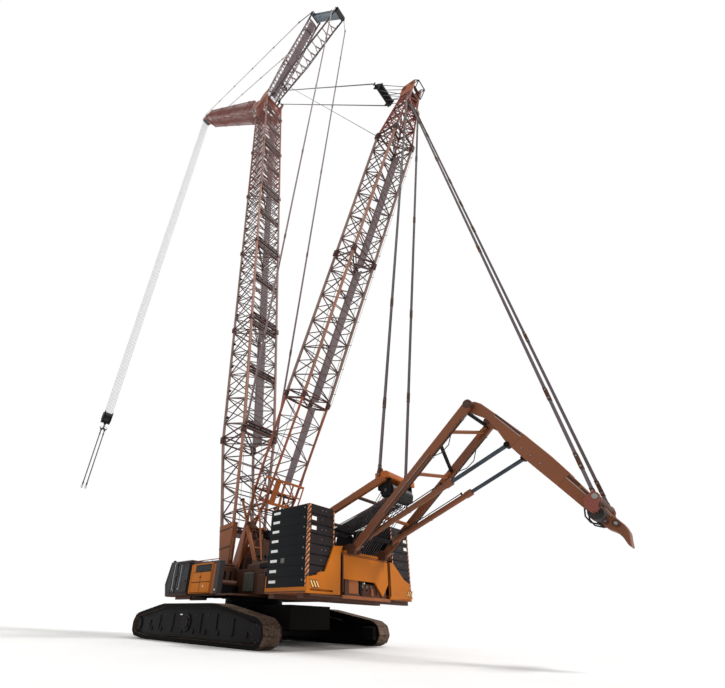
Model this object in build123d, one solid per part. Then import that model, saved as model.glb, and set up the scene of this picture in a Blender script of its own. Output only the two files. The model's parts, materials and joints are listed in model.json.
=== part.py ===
from build123d import *
import os
from collections import namedtuple
from math import acos, atan2, ceil, cos, degrees, hypot, pi, radians, sin

# Crawler crane with a main boom, a luffing jib on two struts, a derrick mast and a superlift
# frame. It is a 1:10 scale model: all sizes here are millimetres of the model, so 100 mm is one
# metre of the machine. +X is the boom's side, +Y the cab's side, +Z up, and the origin lies on
# the ground under the slewing axis. The rest pose has the superstructure facing forwards.

# ---------------------------------------------------------------------------- driving sizes
GAP = 5.0                       # between pieces that move past each other
PIN_PLAY = 0.1                  # radial play of a pin in its bore
SIDES = 10                      # of a bar, eye or bore that is not a hinge pin
WHEEL_SIDES = 14
SHEAVE_SIDES = 20
ARC_STEP = 20.0                 # degrees between the corners of a track's bends

# undercarriage
TRACK_Y = 416.0                 # centre line of a track
TRACK_WIDTH = 100.0
SHOES = 56
SHOE_THICKNESS = 9.0
SHOE_SHARE = 0.9                # part of the pitch that a shoe's outer face fills
BELT_DEPTH = 20.0               # shoe and link together
LINK_WIDTH = 44.0
LINK_DEPTH = 8.0
Circle_ = namedtuple("Circle_", "name x z r")
TRACK_CIRCLES = (               # the track's outer face runs round these, anticlockwise
    Circle_("sprocket", -618, 62, 62),
    Circle_("front roller", 385, 62, 62),
    Circle_("idler", 522, 74, 62),
    Circle_("top front", 238, 132, 50),
    Circle_("top rear", -273, 132, 50),
)
SIDE_FRAME = ((-560, 44), (420, 44), (478, 64), (470, 94), (238, 140), (-268, 140), (-560, 86))
SIDE_FRAME_HALF = 34.0
CHEEK_HALF = 24.0               # half the room between the cheeks at sprocket and idler
WHEEL_RADIUS = 33.0
ROLLERS = 9
ROLLER_X = (-540, 360)
CARBODY = (-190, 190)           # its length
CARBODY_HALF = 210.0
CARBODY_Z = (60, 175)
BEAM_X = (-170, 170)
BEAM_WIDTH = 90.0
BEAM_Z = (66, 160)
RING_RADIUS = 175.0
RING_BORE = 30.0                # for the rotary feed of oil and power
RING_SIDES = 32
RING_Z = (175, 205, 206, 222)   # lower race from and to, upper race from and to
CENTRE_BALLAST = ((-500, -215), (215, 440))
CENTRE_BALLAST_HALF = 150.0
CENTRE_BALLAST_Z = (74, 186)

# superstructure
GIRDER_Y = (85, 165)
GIRDER_X = (-875, 100)
DECK_Z = 222.0
GIRDER_TOP = 300.0
PLATE = 15.0                    # thickness of the lug plates

# masts: pivot and angle above the +X direction
BOOM_PIVOT = (163.5, 281.1)
BOOM_ANGLE = 83.96
DERRICK_PIVOT = (86.0, 385.0)
DERRICK_ANGLE = 112.6
JIB_AT = (150.0, 7703.0)        # jib pivot, across and along the boom
JIB_ANGLE = 53.73
STRUT_LENGTH = 1890.0
STRUT_ANGLE = 129.7
REAR_STRUT_AT = (-150.0, 7640.0)
REAR_STRUT_LENGTH = 1501.8
REAR_STRUT_ANGLE = 167.87

SECTION = 1200.0                # a standard lattice section
BAYS = 5
BOOM_FOOT = 1095.0
BOOM_SECTIONS = 5
BOOM_HALF_DEPTH = 133.0
BOOM_HALF_WIDTH = 153.0
BOOM_CHORD = 18.0
BOOM_LACE = 9.0
DERRICK_FOOT = 1218.0
DERRICK_SECTIONS = 2
DERRICK_HALF_DEPTH = 99.5
DERRICK_HALF_WIDTH = 123.0
DERRICK_CHORD = 16.0
DERRICK_LACE = 8.0
JIB_FOOT = 800.0
JIB_SECTIONS = 3
JIB_HALF_DEPTH = 115.0
JIB_HALF_WIDTH = 130.0
JIB_CHORD = 15.0
JIB_LACE = 7.5
TIP_AT = (60.0, 5271.3)         # tip sheave axis, across and along the jib

# superlift frame, in the XZ plane
SUPERLIFT_FOOT = (-900.0, 420.0)
SUPERLIFT_TOP = (-1580.0, 990.0)
SUPERLIFT_PENDANT = (-1960.0, 520.0)
SUPERLIFT_RAIL_Y = 130.0
CYLINDER_BASE = (-970.0, 480.0)
CYLINDER_EYE = (-1700.0, 800.0)
CYLINDER_Y = 70.0
PENDANT_Y = (60.0, 125.0)        # of the superlift pendants, at the derrick and at the arm

# rope and hook
HOOK_X = 4290.0
HOOK_Z = 2640.0                 # underside of the hook block
HOOK_BOWL_Y = 42.0
HOOK_BOWL_RADIUS = 24.0
SLING_END = 1720.0


# ---------------------------------------------------------------------------- helpers
class Mast:
    """A frame that leans in the XZ plane: s runs along it, x across it, forwards or down."""

    def __init__(self, pivot, angle):
        self.pivot = pivot
        self.angle = angle
        turn = radians(angle)
        self.along = (cos(turn), sin(turn))
        self.across = (sin(turn), -cos(turn))

    def point(self, x, s, y=0.0):
        """Place of a point across and along the mast in the part's frame."""
        return (self.pivot[0] + s * self.along[0] + x * self.across[0], y,
                self.pivot[1] + s * self.along[1] + x * self.across[1])

    def place(self, shape, s=0.0):
        """Shape drawn with +Z along the mast, moved to where the mast stands."""
        plane = Plane(origin=self.point(0, s), x_dir=(self.across[0], 0, self.across[1]),
                      z_dir=(self.along[0], 0, self.along[1]))
        return plane * shape


BOOM = Mast(BOOM_PIVOT, BOOM_ANGLE)
DERRICK = Mast(DERRICK_PIVOT, DERRICK_ANGLE)
JIB_PIVOT = BOOM.point(*JIB_AT)
JIB = Mast((JIB_PIVOT[0], JIB_PIVOT[2]), JIB_ANGLE)
STRUT = Mast((JIB_PIVOT[0], JIB_PIVOT[2]), STRUT_ANGLE)
REAR_BASE = BOOM.point(*REAR_STRUT_AT)
REAR_STRUT = Mast((REAR_BASE[0], REAR_BASE[2]), REAR_STRUT_ANGLE)
ARM = Mast(SUPERLIFT_TOP, degrees(atan2(SUPERLIFT_PENDANT[1] - SUPERLIFT_TOP[1],
                                        SUPERLIFT_PENDANT[0] - SUPERLIFT_TOP[0])))
RAIL = Mast(SUPERLIFT_FOOT, degrees(atan2(SUPERLIFT_TOP[1] - SUPERLIFT_FOOT[1],
                                          SUPERLIFT_TOP[0] - SUPERLIFT_FOOT[0])))
CYLINDER = Mast(CYLINDER_BASE, degrees(atan2(CYLINDER_EYE[1] - CYLINDER_BASE[1],
                                             CYLINDER_EYE[0] - CYLINDER_BASE[0])))


def block(x, y, z):
    """Box between the limits x, y and z, each a pair."""
    box = Box(x[1] - x[0], y[1] - y[0], z[1] - z[0], align=(Align.MIN, Align.MIN, Align.MIN))
    return Pos(x[0], y[0], z[0]) * box


def plate(outline, y):
    """Plate with an outline of (x, z) points between two values of y."""
    face = make_face(Polyline(*outline, close=True))
    return Pos(0, y[1], 0) * extrude(Plane.XZ * face, amount=y[1] - y[0])


def rod(x, z, radius, y, sides=SIDES):
    """Many-sided bar along Y between two values of y, its corners at the radius."""
    face = Pos(x, z) * RegularPolygon(radius, sides)
    return Pos(0, y[1], 0) * extrude(Plane.XZ * face, amount=y[1] - y[0])


def pin(x, z, radius, y):
    """Round pin or wheel along Y between two values of y, for what turns on its axis."""
    return Pos(x, (y[0] + y[1]) / 2, z) * Rot(90, 0, 0) * Cylinder(radius, y[1] - y[0])


def prism(radius, low, high):
    """Many-sided bar along Z, its corners at the radius."""
    return Pos(0, 0, low) * extrude(RegularPolygon(radius, SIDES), amount=high - low)


def bore(x, z, radius, y):
    """Many-sided hole for a round pin of that radius, its flats clear of the pin by the play."""
    return rod(x, z, (radius + PIN_PLAY) / cos(pi / SIDES), y)


def bar(start, end, width, depth=None, side=(0, 1, 0)):
    """Flat or square bar between two points; its width lies along side."""
    run = Vector(*end) - Vector(*start)
    plane = Plane(origin=start, x_dir=side, z_dir=run)
    return plane * Box(width, depth or width, run.length,
                       align=(Align.CENTER, Align.CENTER, Align.MIN))


def tapered(start, end, first, last):
    """Box bar between two points, from one (width along Y, depth) to another."""
    run = Vector(*end) - Vector(*start)
    low = Plane(origin=start, x_dir=(0, 1, 0), z_dir=run)
    high = Plane(origin=end, x_dir=(0, 1, 0), z_dir=run)
    return loft([low * Rectangle(*first), high * Rectangle(*last)])


def fuse(shapes):
    """One shape from shapes that touch or overlap."""
    return Part() + list(shapes)


def both(shape):
    """Shape and its mirror image on the other side of the crane, as a list."""
    return [shape, mirror(shape, about=Plane.XZ)]


def apart(shapes):
    """Pieces that share a node and don't touch."""
    return Compound(children=[solid for shape in shapes for solid in shape.solids()])


# ---------------------------------------------------------------------------- lattice
Station = namedtuple("Station", "s front rear half")
CORNERS = ((1, 1), (1, -1), (-1, -1), (-1, 1))      # front or rear, left or right
NORMALS = ((1, 0, 0), (0, 1, 0), (1, 0, 0), (0, 1, 0))


def chord_run(low, high, size):
    """Chord between two corners, square across the mast, so that runs meet in full faces."""
    ends = [Pos(*point) * Rectangle(size, size) for point in (low, high)]
    return loft(ends)


def lattice(stations, chord, lace, bays, frames=(), faces=range(4)):
    """Four chords through the stations, a zigzag on the faces given and cross frames.

    bays is (first s, last s, count); frames holds the s of each frame of four cross bars.
    """
    def corner(s, number):
        forward, left = CORNERS[number % 4]
        for low, high in zip(stations, stations[1:]):
            if low.s <= s <= high.s:
                t = (s - low.s) / (high.s - low.s)
                x = (low.front + t * (high.front - low.front) if forward > 0
                     else low.rear + t * (high.rear - low.rear))
                return (x, left * (low.half + t * (high.half - low.half)), s)
        raise ValueError(f"no station at {s}")

    bars = []
    for number in range(4):
        for low, high in zip(stations, stations[1:]):
            bars.append(chord_run(corner(low.s, number), corner(high.s, number), chord))
        for s in frames:
            bars.append(bar(corner(s, number), corner(s, number + 1), lace, side=NORMALS[number]))
        if number not in faces:
            continue
        first, last, count = bays
        step = (last - first) / count
        for bay in range(count):
            swap = (bay + number // 2) % 2
            low = corner(first + bay * step, number + swap)
            high = corner(first + (bay + 1) * step, number + 1 - swap)
            bars.append(bar(low, high, lace, side=NORMALS[number]))
    return fuse(bars)


def straight(length, half_depth, half_width, chord, lace):
    """Standard section: chords that end flat, five bays and a frame near each end."""
    inset = chord
    stations = (Station(0, half_depth, -half_depth, half_width),
                Station(length, half_depth, -half_depth, half_width))
    return lattice(stations, chord, lace, (inset, length - inset, BAYS), (inset,))


def leg(outline, y, radius):
    """Plate leg drawn along a mast, with the bore for its pin at the pivot."""
    return plate(outline, y) - bore(0, 0, radius, y)


def eye_outline(radius, top, steps=6):
    """Outline round the pivot below and up to the two points at the top, as (x, s)."""
    arc = [(radius * cos(turn), radius * sin(turn))
           for turn in [pi + pi * step / steps for step in range(steps + 1)]]
    return arc + list(top)


# ---------------------------------------------------------------------------- undercarriage
class Belt:
    """Closed path round circles, anticlockwise, at a depth below the outer face."""

    def __init__(self, circles, depth):
        self.runs = []
        rings = [(c.x, c.z, c.r - depth) for c in circles]
        normals = []
        for (x0, z0, r0), (x1, z1, r1) in zip(rings, rings[1:] + rings[:1]):
            span = hypot(x1 - x0, z1 - z0)
            normals.append(atan2(z1 - z0, x1 - x0) - acos((r0 - r1) / span))
        for number, (x0, z0, r0) in enumerate(rings):
            turn = (normals[number] - normals[number - 1]) % (2 * pi)
            self.runs.append((r0 * turn, "arc", (x0, z0, r0, normals[number - 1])))
            x1, z1, r1 = rings[(number + 1) % len(rings)]
            out = normals[number]
            start = (x0 + r0 * cos(out), z0 + r0 * sin(out))
            end = (x1 + r1 * cos(out), z1 + r1 * sin(out))
            self.runs.append((hypot(end[0] - start[0], end[1] - start[1]), "line", (start, end)))
        self.length = sum(run[0] for run in self.runs)

    def point(self, distance):
        """Point at a distance along the path."""
        distance %= self.length
        for length, kind, data in self.runs:
            if distance <= length:
                if kind == "arc":
                    x, z, r, start = data
                    turn = start + distance / r
                    return (x + r * cos(turn), z + r * sin(turn))
                t = distance / length
                return tuple(a + t * (b - a) for a, b in zip(*data))
            distance -= length
        return self.point(0.0)

    def outline(self):
        """Corners of the path, with each bend cut into equal steps."""
        corners = []
        for length, kind, data in self.runs:
            if kind == "arc":
                x, z, r, start = data
                steps = ceil(degrees(length / r) / ARC_STEP)
                turns = [start + length / r * step / steps for step in range(steps + 1)]
                corners += [(x + r * cos(turn), z + r * sin(turn)) for turn in turns]
        return corners


def belt_solid(depth, width):
    """Solid inside the track's path at a depth, as wide as given."""
    return plate(Belt(TRACK_CIRCLES, depth).outline(), (-width / 2, width / 2))


def track():
    """One track as a loop: shoes in the outline, and a narrower ring of links inside."""
    outer = Belt(TRACK_CIRCLES, 0.0)
    base = Belt(TRACK_CIRCLES, SHOE_THICKNESS)
    margin = (1 - SHOE_SHARE) / 2

    def at(belt, share):
        return belt.point(share * belt.length / SHOES)

    outline = []
    for shoe in range(SHOES):
        outline += [at(base, shoe), at(outer, shoe + margin), at(outer, shoe + 1 - margin)]
    shoes = plate(outline, (-TRACK_WIDTH / 2, TRACK_WIDTH / 2))
    shoes -= belt_solid(BELT_DEPTH, TRACK_WIDTH)
    links = belt_solid(BELT_DEPTH, LINK_WIDTH) - belt_solid(BELT_DEPTH + LINK_DEPTH, LINK_WIDTH)
    return Pos(0, TRACK_Y, 0) * fuse([shoes, links])


def crawler_frame():
    """Side frame between the track's runs, with cheeks at the sprocket and the idler."""
    body = plate(SIDE_FRAME, (-SIDE_FRAME_HALF, SIDE_FRAME_HALF))
    shapes = [body]
    sprocket, idler = TRACK_CIRCLES[0], TRACK_CIRCLES[2]
    for wheel, inward in ((sprocket, 60), (idler, -60)):
        for side in (-1, 1):
            y = sorted((side * CHEEK_HALF, side * SIDE_FRAME_HALF))
            shapes.append(rod(wheel.x, wheel.z, 24, y))
            x = sorted((wheel.x, wheel.x + inward))
            shapes.append(block(x, y, (wheel.z - 18, wheel.z + 18)))
    return Pos(0, TRACK_Y, 0) * fuse(shapes)


def track_wheels():
    """Sprocket, idler, bottom and top rollers of one track."""
    shapes = []
    for wheel in (TRACK_CIRCLES[0], TRACK_CIRCLES[2]):
        shapes.append(fuse([rod(wheel.x, wheel.z, WHEEL_RADIUS, (-20, 20), WHEEL_SIDES),
                            rod(wheel.x, wheel.z, 14, (-CHEEK_HALF, CHEEK_HALF))]))
    low = BELT_DEPTH + LINK_DEPTH
    radius = (SIDE_FRAME[0][1] - low) / 2
    step = (ROLLER_X[1] - ROLLER_X[0]) / (ROLLERS - 1)
    for number in range(ROLLERS):
        shapes.append(rod(ROLLER_X[0] + number * step, low + radius, radius,
                          (-CHEEK_HALF, CHEEK_HALF), sides=8))
    return Pos(0, TRACK_Y, 0) * apart(shapes)


def undercarriage():
    """Carbody, centre ballast, side frames, wheels and tracks."""
    ring = Pos(0, 0, RING_Z[0]) * extrude(RegularPolygon(RING_RADIUS, RING_SIDES),
                                          amount=RING_Z[1] - RING_Z[0])
    inner = TRACK_Y - SIDE_FRAME_HALF
    shapes = [block(CARBODY, (-CARBODY_HALF, CARBODY_HALF), CARBODY_Z), ring]
    for x in BEAM_X:
        shapes.append(block((x - BEAM_WIDTH / 2, x + BEAM_WIDTH / 2), (-inner, inner), BEAM_Z))
    ballast = [block(x, (-CENTRE_BALLAST_HALF, CENTRE_BALLAST_HALF), CENTRE_BALLAST_Z)
               for x in CENTRE_BALLAST]
    frames = both(crawler_frame())
    wheels = both(track_wheels())
    tracks = both(track())
    return {
        "carbody": fuse(shapes),
        "centre_ballast": apart(ballast),
        "crawler_frame_left": frames[0], "crawler_frame_right": frames[1],
        "track_wheels_left": wheels[0], "track_wheels_right": wheels[1],
        "track_left": tracks[0], "track_right": tracks[1],
    }


# ---------------------------------------------------------------------------- superstructure
BOOM_LEG_Y = (105, 145)
DERRICK_LEG_Y = (100, 130)
BOOM_PIN = 14.0
DERRICK_PIN = 11.0
SMALL_PIN = 8.0
CAB_X = (145, 427)
CAB_Y = (250, 388)
CAB_Z = (231, 415)
HOUSING_FRONT = 139.0
HOUSING_Y = (176, 384)
COUNTERWEIGHT_X = (-873, -600)
COUNTERWEIGHT_Y = (241, 415)
COUNTERWEIGHT_Z = (245, 600)
SLABS = 8
TRAY_Z = (222, 243)
REAR_PANEL_X = (-885, -877)


def main_frame():
    """Two girders with lugs for boom, derrick and superlift, cross members and side decks."""
    boom_lug = ((GIRDER_X[1] - 5, DECK_Z), (205, DECK_Z), (205, 300), (185, 318), (140, 318),
                (122, 296), (GIRDER_X[1] - 5, 296))
    derrick_lug = ((50, GIRDER_TOP), (112, GIRDER_TOP), (112, 400), (98, 412), (74, 412),
                   (58, 400))
    rear_lug = ((-800, GIRDER_TOP), (-868, GIRDER_TOP), (-868, 402), (-924, 402), (-924, 436),
                (-900, 448), (-850, 440))
    shapes = [block((GIRDER_X[0], GIRDER_X[1]), (-GIRDER_Y[1], GIRDER_Y[1]), (DECK_Z, DECK_Z + 10))]
    for side in (-1, 1):
        def y(low, high):
            return sorted((side * low, side * high))
        shapes.append(block(GIRDER_X, y(*GIRDER_Y), (DECK_Z, GIRDER_TOP)))
        for low, high in ((BOOM_LEG_Y[0] - GAP - PLATE, BOOM_LEG_Y[0] - GAP),
                          (BOOM_LEG_Y[1] + GAP, BOOM_LEG_Y[1] + GAP + PLATE)):
            shapes.append(plate(boom_lug, y(low, high)))
        shapes.append(pin(*BOOM_PIVOT, BOOM_PIN, y(BOOM_LEG_Y[0] - GAP, BOOM_LEG_Y[1] + GAP)))
        for low, high in ((DERRICK_LEG_Y[0] - GAP - 10, DERRICK_LEG_Y[0] - GAP),
                          (DERRICK_LEG_Y[1] + GAP, DERRICK_LEG_Y[1] + GAP + 10)):
            shapes.append(plate(derrick_lug, y(low, high)))
        shapes.append(rod(*DERRICK_PIVOT, DERRICK_PIN,
                          y(DERRICK_LEG_Y[0] - GAP, DERRICK_LEG_Y[1] + GAP)))
        rail = (SUPERLIFT_RAIL_Y - 12, SUPERLIFT_RAIL_Y + 12)
        for low, high in ((rail[0] - GAP - 8, rail[0] - GAP), (rail[1] + GAP, rail[1] + GAP + 8)):
            shapes.append(plate(rear_lug, y(low, high)))
        shapes.append(rod(*SUPERLIFT_FOOT, SMALL_PIN, y(rail[0] - GAP, rail[1] + GAP)))
    for x in ((-870, -840), (-560, -530), (-330, -300), (-20, 10)):
        shapes.append(block(x, (-GIRDER_Y[0], GIRDER_Y[0]), (DECK_Z, 280)))
    for x in ((-850, -815), (-660, -625)):
        shapes.append(block(x, (-410, 410), (200, DECK_Z)))
    shapes.append(block((-300, 130), (160, 384), (DECK_Z, 230)))
    shapes.append(block((-480, 130), (-384, -160), (DECK_Z, 230)))
    shapes.append(block((120, 290), (262, 276), (206, 225)))
    shapes.append(block((120, 290), (360, 374), (206, 225)))
    return fuse(shapes)


def cab():
    """Cab shell with cut windows, its glass, sliding door and inside."""
    wall = 4.0
    front = [(CAB_X[0], CAB_Z[0]), (400, CAB_Z[0]), (CAB_X[1], 292), (392, CAB_Z[1]),
             (152, CAB_Z[1]), (CAB_X[0], 404)]
    inside = [(CAB_X[0] + wall, CAB_Z[0] + wall + 2), (397, CAB_Z[0] + wall + 2), (422.5, 292),
              (389, CAB_Z[1] - wall), (154, CAB_Z[1] - wall), (CAB_X[0] + wall, 402)]
    shell = plate(front, CAB_Y) - plate(inside, (CAB_Y[0] + wall, CAB_Y[1] - wall))
    side_window = [(268, 262), (396, 262), (410, 292), (383, 402), (268, 402)]
    door_way = [(162, 246), (256, 246), (256, 402), (162, 402)]
    right_window = [(170, 300), (396, 300), (405, 304), (383, 402), (170, 402)]
    left_y = (CAB_Y[1] - wall, CAB_Y[1])
    right_y = (CAB_Y[0], CAB_Y[0] + wall)
    shell -= plate(side_window, left_y)
    shell -= plate(door_way, left_y)
    shell -= plate(right_window, right_y)
    glass_y = (CAB_Y[0] + 10, CAB_Y[1] - 10)
    front_cut = [(380, 240), (440, 240), (440, 403), (380, 403)]
    roof_cut = [(190, 405), (360, 405), (360, 420), (190, 420)]
    shell -= plate(front_cut, glass_y)
    shell -= plate(roof_cut, glass_y)
    outline = plate(front, glass_y) - plate(inside, glass_y)
    panes = [plate(side_window, (left_y[0] + 1, left_y[1] - 1)),
             plate(right_window, (right_y[0] + 1, right_y[1] - 1)),
             outline & plate(front_cut, glass_y), outline & plate(roof_cut, glass_y)]
    door = plate([(155, 240), (262, 240), (262, 407), (155, 407)], (389, 393))
    door_window = [(165, 300), (252, 300), (252, 398), (165, 398)]
    door -= plate(door_window, (389, 393))
    floor = CAB_Z[0] + wall + 2
    seat = fuse([block((190, 245), (294, 344), (floor, 268)), block((178, 250), (290, 348), (268, 280)),
                 plate([(178, 280), (194, 280), (184, 352), (168, 352)], (292, 346))])
    console = block((330, 372), (285, 353), (floor, 290))
    return {
        "cab_shell": shell,
        "cab_glass": apart(panes),
        "cab_door": door,
        "cab_door_glass": plate(door_window, (390, 392)),
        "cab_interior": apart([seat, console]),
    }


def housings():
    """Machine housing behind the cab, power pack on the other side, and the hydraulic tank."""
    left = plate([(-156, 230), (HOUSING_FRONT, 230), (HOUSING_FRONT, 392), (-150, 392),
                  (-156, 380)], HOUSING_Y)
    right = plate([(-470, 230), (HOUSING_FRONT, 230), (HOUSING_FRONT, 386), (110, 410),
                   (-470, 410)], (-HOUSING_Y[1], -HOUSING_Y[0]))
    tank = block((-300, -170), (176, 216), (230, 419))
    return {"housing_left": apart([left, tank]), "housing_right": right}


Winch = namedtuple("Winch", "x z radius top")
WINCHES = (Winch(-120, 362, 42, 424), Winch(-255, 362, 42, 424), Winch(-660, 380, 46, 560))


def winches():
    """Cheeks on the girders and the drums between them."""
    frames = []
    drums = []
    for winch in WINCHES:
        outline = ((winch.x - 66, GIRDER_TOP), (winch.x + 66, GIRDER_TOP),
                   (winch.x + 60, winch.top - 30), (winch.x + 30, winch.top),
                   (winch.x - 30, winch.top), (winch.x - 60, winch.top - 30))
        frames += both(plate(outline, (88, 98)))
        drum = [rod(winch.x, winch.z, winch.radius, (-80, 80), WHEEL_SIDES)]
        drum += [rod(winch.x, winch.z, winch.radius + 14, y, WHEEL_SIDES)
                 for y in ((-88, -80), (80, 88))]
        drums.append(fuse(drum))
    return {"winches": fuse(frames + drums)}


def counterweights():
    """Tray and slabs of each side, and the rear panels."""
    trays = []
    stacks = []
    step = (COUNTERWEIGHT_Z[1] - COUNTERWEIGHT_Z[0]) / SLABS
    for side in (-1, 1):
        y = sorted((side * COUNTERWEIGHT_Y[0], side * COUNTERWEIGHT_Y[1]))
        trays.append(block(COUNTERWEIGHT_X, y, TRAY_Z))
        slabs = []
        for number in range(SLABS):
            low = TRAY_Z[1] + number * step
            slabs.append(block(COUNTERWEIGHT_X, y, (low, low + step - 2)))
        core = block((COUNTERWEIGHT_X[0] + 8, COUNTERWEIGHT_X[1] - 8), (y[0] + 8, y[1] - 8),
                     (TRAY_Z[1], TRAY_Z[1] + SLABS * step - 2))
        stacks.append(fuse(slabs + [core]))
    left = ((426, 218), (210, 221), (207, 396), (191, 434), (256, 425), (276, 383), (314, 310),
            (353, 304), (365, 292), (426, 280))
    right = ((-190, 220), (-406, 232), (-383, 305), (-330, 324), (-231, 398), (-191, 401))
    centre = ((186, 290), (186, 395), (-175, 395), (-175, 290), (-124, 230), (-60, 290))
    panels = []
    for outline in (left, right, centre):
        face = make_face(Polyline(*outline, close=True))
        panels.append(Pos(REAR_PANEL_X[0], 0, 0) * extrude(Plane.YZ * face, amount=8))
    slot = block((REAR_PANEL_X[0], REAR_PANEL_X[1]), (259, 405), (229, 237))
    panels[0] -= slot
    return {
        "counterweight_trays": apart(trays),
        "counterweight_left": stacks[1], "counterweight_right": stacks[0],
        "rear_panels": apart(panels),
    }


GANTRY_HEAD = (-1070.0, 790.0)
GANTRY_PENDANT_Y = (90.0, 121.0)       # at the derrick and at the gantry
DERRICK_HEAD = DERRICK_FOOT + DERRICK_SECTIONS * SECTION
HEAD_TAPER = 520.0              # length of the head's lattice
HEAD_HALF = 55.0
HEAD_CHEEK_Y = (46, 58)
LUFFING_PIN_AT = (50.0, DERRICK_HEAD + 600)
SUPERLIFT_PIN_AT = (-92.0, DERRICK_HEAD + 340)
SUPERLIFT_PIN = 10.0
GANTRY_PENDANT_AT = (-64.0, DERRICK_HEAD + 400)


def gantry():
    """Gantry arms with their head beam and sheaves, and the lower sheave block."""
    arms = []
    for side in (-1, 1):
        y = sorted((side * 105, side * 135))
        arms.append(block((-475, -395), y, (GIRDER_TOP, 334)))
        start = (-446, side * 120, 322)
        arms.append(bar(start, (GANTRY_HEAD[0], side * 105, GANTRY_HEAD[1]), 20, 34))
        arms.append(rod(*GANTRY_HEAD, 24, sorted((side * 94, side * 116))))
        arms.append(rod(*GANTRY_HEAD, 9, sorted((side * 116, side * 130))))
    arms.append(rod(*GANTRY_HEAD, 12, (-94, 94)))
    head = rod(*GANTRY_HEAD, 36, (-80, 80), WHEEL_SIDES) - rod(*GANTRY_HEAD, 12, (-80, 80))
    cheeks = both(plate(((-830, GIRDER_TOP), (-730, GIRDER_TOP), (-750, 372), (-810, 372)), (88, 98)))
    lower = rod(-780, 345, 30, (-88, 88), WHEEL_SIDES)
    return {"gantry": fuse(arms), "gantry_sheaves": apart([head, fuse(cheeks + [lower])])}


def derrick():
    """Derrick foot, two sections and the head with its pins, held by fixed pendants."""
    foot_leg = eye_outline(26, ((45, 260), (-45, 260)))
    legs = []
    for side in (-1, 1):
        legs.append(leg(foot_leg, sorted((side * DERRICK_LEG_Y[0], side * DERRICK_LEG_Y[1])),
                        DERRICK_PIN))
    depth, width = DERRICK_HALF_DEPTH, DERRICK_HALF_WIDTH
    foot = lattice((Station(120, 22, -22, 115), Station(520, 78, -78, 118),
                    Station(DERRICK_FOOT, depth, -depth, width)),
                   DERRICK_CHORD, DERRICK_LACE, (260, DERRICK_FOOT - 20, 4), (DERRICK_FOOT - 20,))
    section = straight(SECTION, depth, width, DERRICK_CHORD, DERRICK_LACE)
    head = derrick_head()
    nodes = {"derrick_foot": DERRICK.place(fuse([foot] + legs))}
    for number in range(DERRICK_SECTIONS):
        nodes[f"derrick_section_{number + 1}"] = DERRICK.place(section,
                                                               DERRICK_FOOT + number * SECTION)
    nodes["derrick_head"] = DERRICK.place(head, DERRICK_HEAD)
    start = DERRICK.point(*GANTRY_PENDANT_AT)
    pendants = []
    for side in (-1, 1):
        pendants.append(strap((start[0], side * GANTRY_PENDANT_Y[0], start[2]),
                              (GANTRY_HEAD[0], side * GANTRY_PENDANT_Y[1], GANTRY_HEAD[1]), 9))
    nodes["derrick_pendants"] = apart(pendants)
    return nodes


def derrick_head():
    """Lattice that narrows upwards, cheeks for the luffing sheaves, and the pendants' pins."""
    depth, width = DERRICK_HALF_DEPTH, DERRICK_HALF_WIDTH
    frame = lattice((Station(0, depth, -depth, width), Station(HEAD_TAPER, HEAD_HALF, -HEAD_HALF, HEAD_HALF)),
                    DERRICK_CHORD, DERRICK_LACE, (20, HEAD_TAPER - 50, 3))
    outline = ((-62, 440), (62, 440), (84, 576), (84, 620), (62, 642), (-50, 642), (-62, 600))
    cheeks = both(plate(outline, HEAD_CHEEK_Y))
    x, s = LUFFING_PIN_AT[0], LUFFING_PIN_AT[1] - DERRICK_HEAD
    pins = [rod(x, s, 10, (-HEAD_CHEEK_Y[0], HEAD_CHEEK_Y[0]))]
    pins.append(rod(-30, 610, 10, (-HEAD_CHEEK_Y[0], HEAD_CHEEK_Y[0])))
    x, s = SUPERLIFT_PIN_AT[0], SUPERLIFT_PIN_AT[1] - DERRICK_HEAD
    bracket = ((-62, s - 44), (-62, s + 44), (x - 12, s + 12), (x - 12, s - 12))
    pins += both(plate(bracket, (71, 81)))
    pins.append(rod(x, s, SUPERLIFT_PIN, (-71, 71)))
    x, s = GANTRY_PENDANT_AT[0], GANTRY_PENDANT_AT[1] - DERRICK_HEAD
    pins += both(rod(x, s, 9, (70, 98)))
    return fuse([frame] + cheeks + pins)


def strap(start, end, radius, bores=2, thickness=7.0, eye=16.0):
    """Straight pendant between two pins across Y, with an eye at each end.

    The first bores of the two eyes are bored; an eye that isn't lies beside its pin.
    """
    shape = bar(start, end, thickness, 8)
    for x, y, z in (start, end):
        shape += rod(x, z, eye, (y - thickness / 2, y + thickness / 2))
    for x, y, z in (start, end)[:bores]:
        shape -= bore(x, z, radius, (y - thickness, y + thickness))
    return shape


def superstructure():
    """All that slews, apart from what luffs, tilts or slides on it."""
    face = RegularPolygon(RING_RADIUS, RING_SIDES) - Circle(RING_BORE)
    ring = Pos(0, 0, RING_Z[2]) * extrude(face, amount=RING_Z[3] - RING_Z[2])
    nodes = {"slewing_ring": ring,
             "main_frame": main_frame()}
    nodes.update(housings())
    nodes.update(winches())
    nodes.update(counterweights())
    nodes.update(gantry())
    nodes.update(derrick())
    nodes.update(cab())
    return nodes


# ---------------------------------------------------------------------------- boom
STAY_AT = (-165.0, 7650.0)
STAY_Y = 125.0
OPEN_GAP = 4.5                  # from the middle of an eye to the end of a pin beside it
STRUT_STAY_Y = 154.0
FRONT_STAY_Y = 122.0
PIVOT_PLATE_Y = (150, 166)
JIB_LUG_Y = (118, 142)
STRUT_LUG_Y = (88, 108)
JIB_PIN = 13.0
REAR_HEAD_PIN = 9.0
STRUT_FOOT_Y = 82.0


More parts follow.
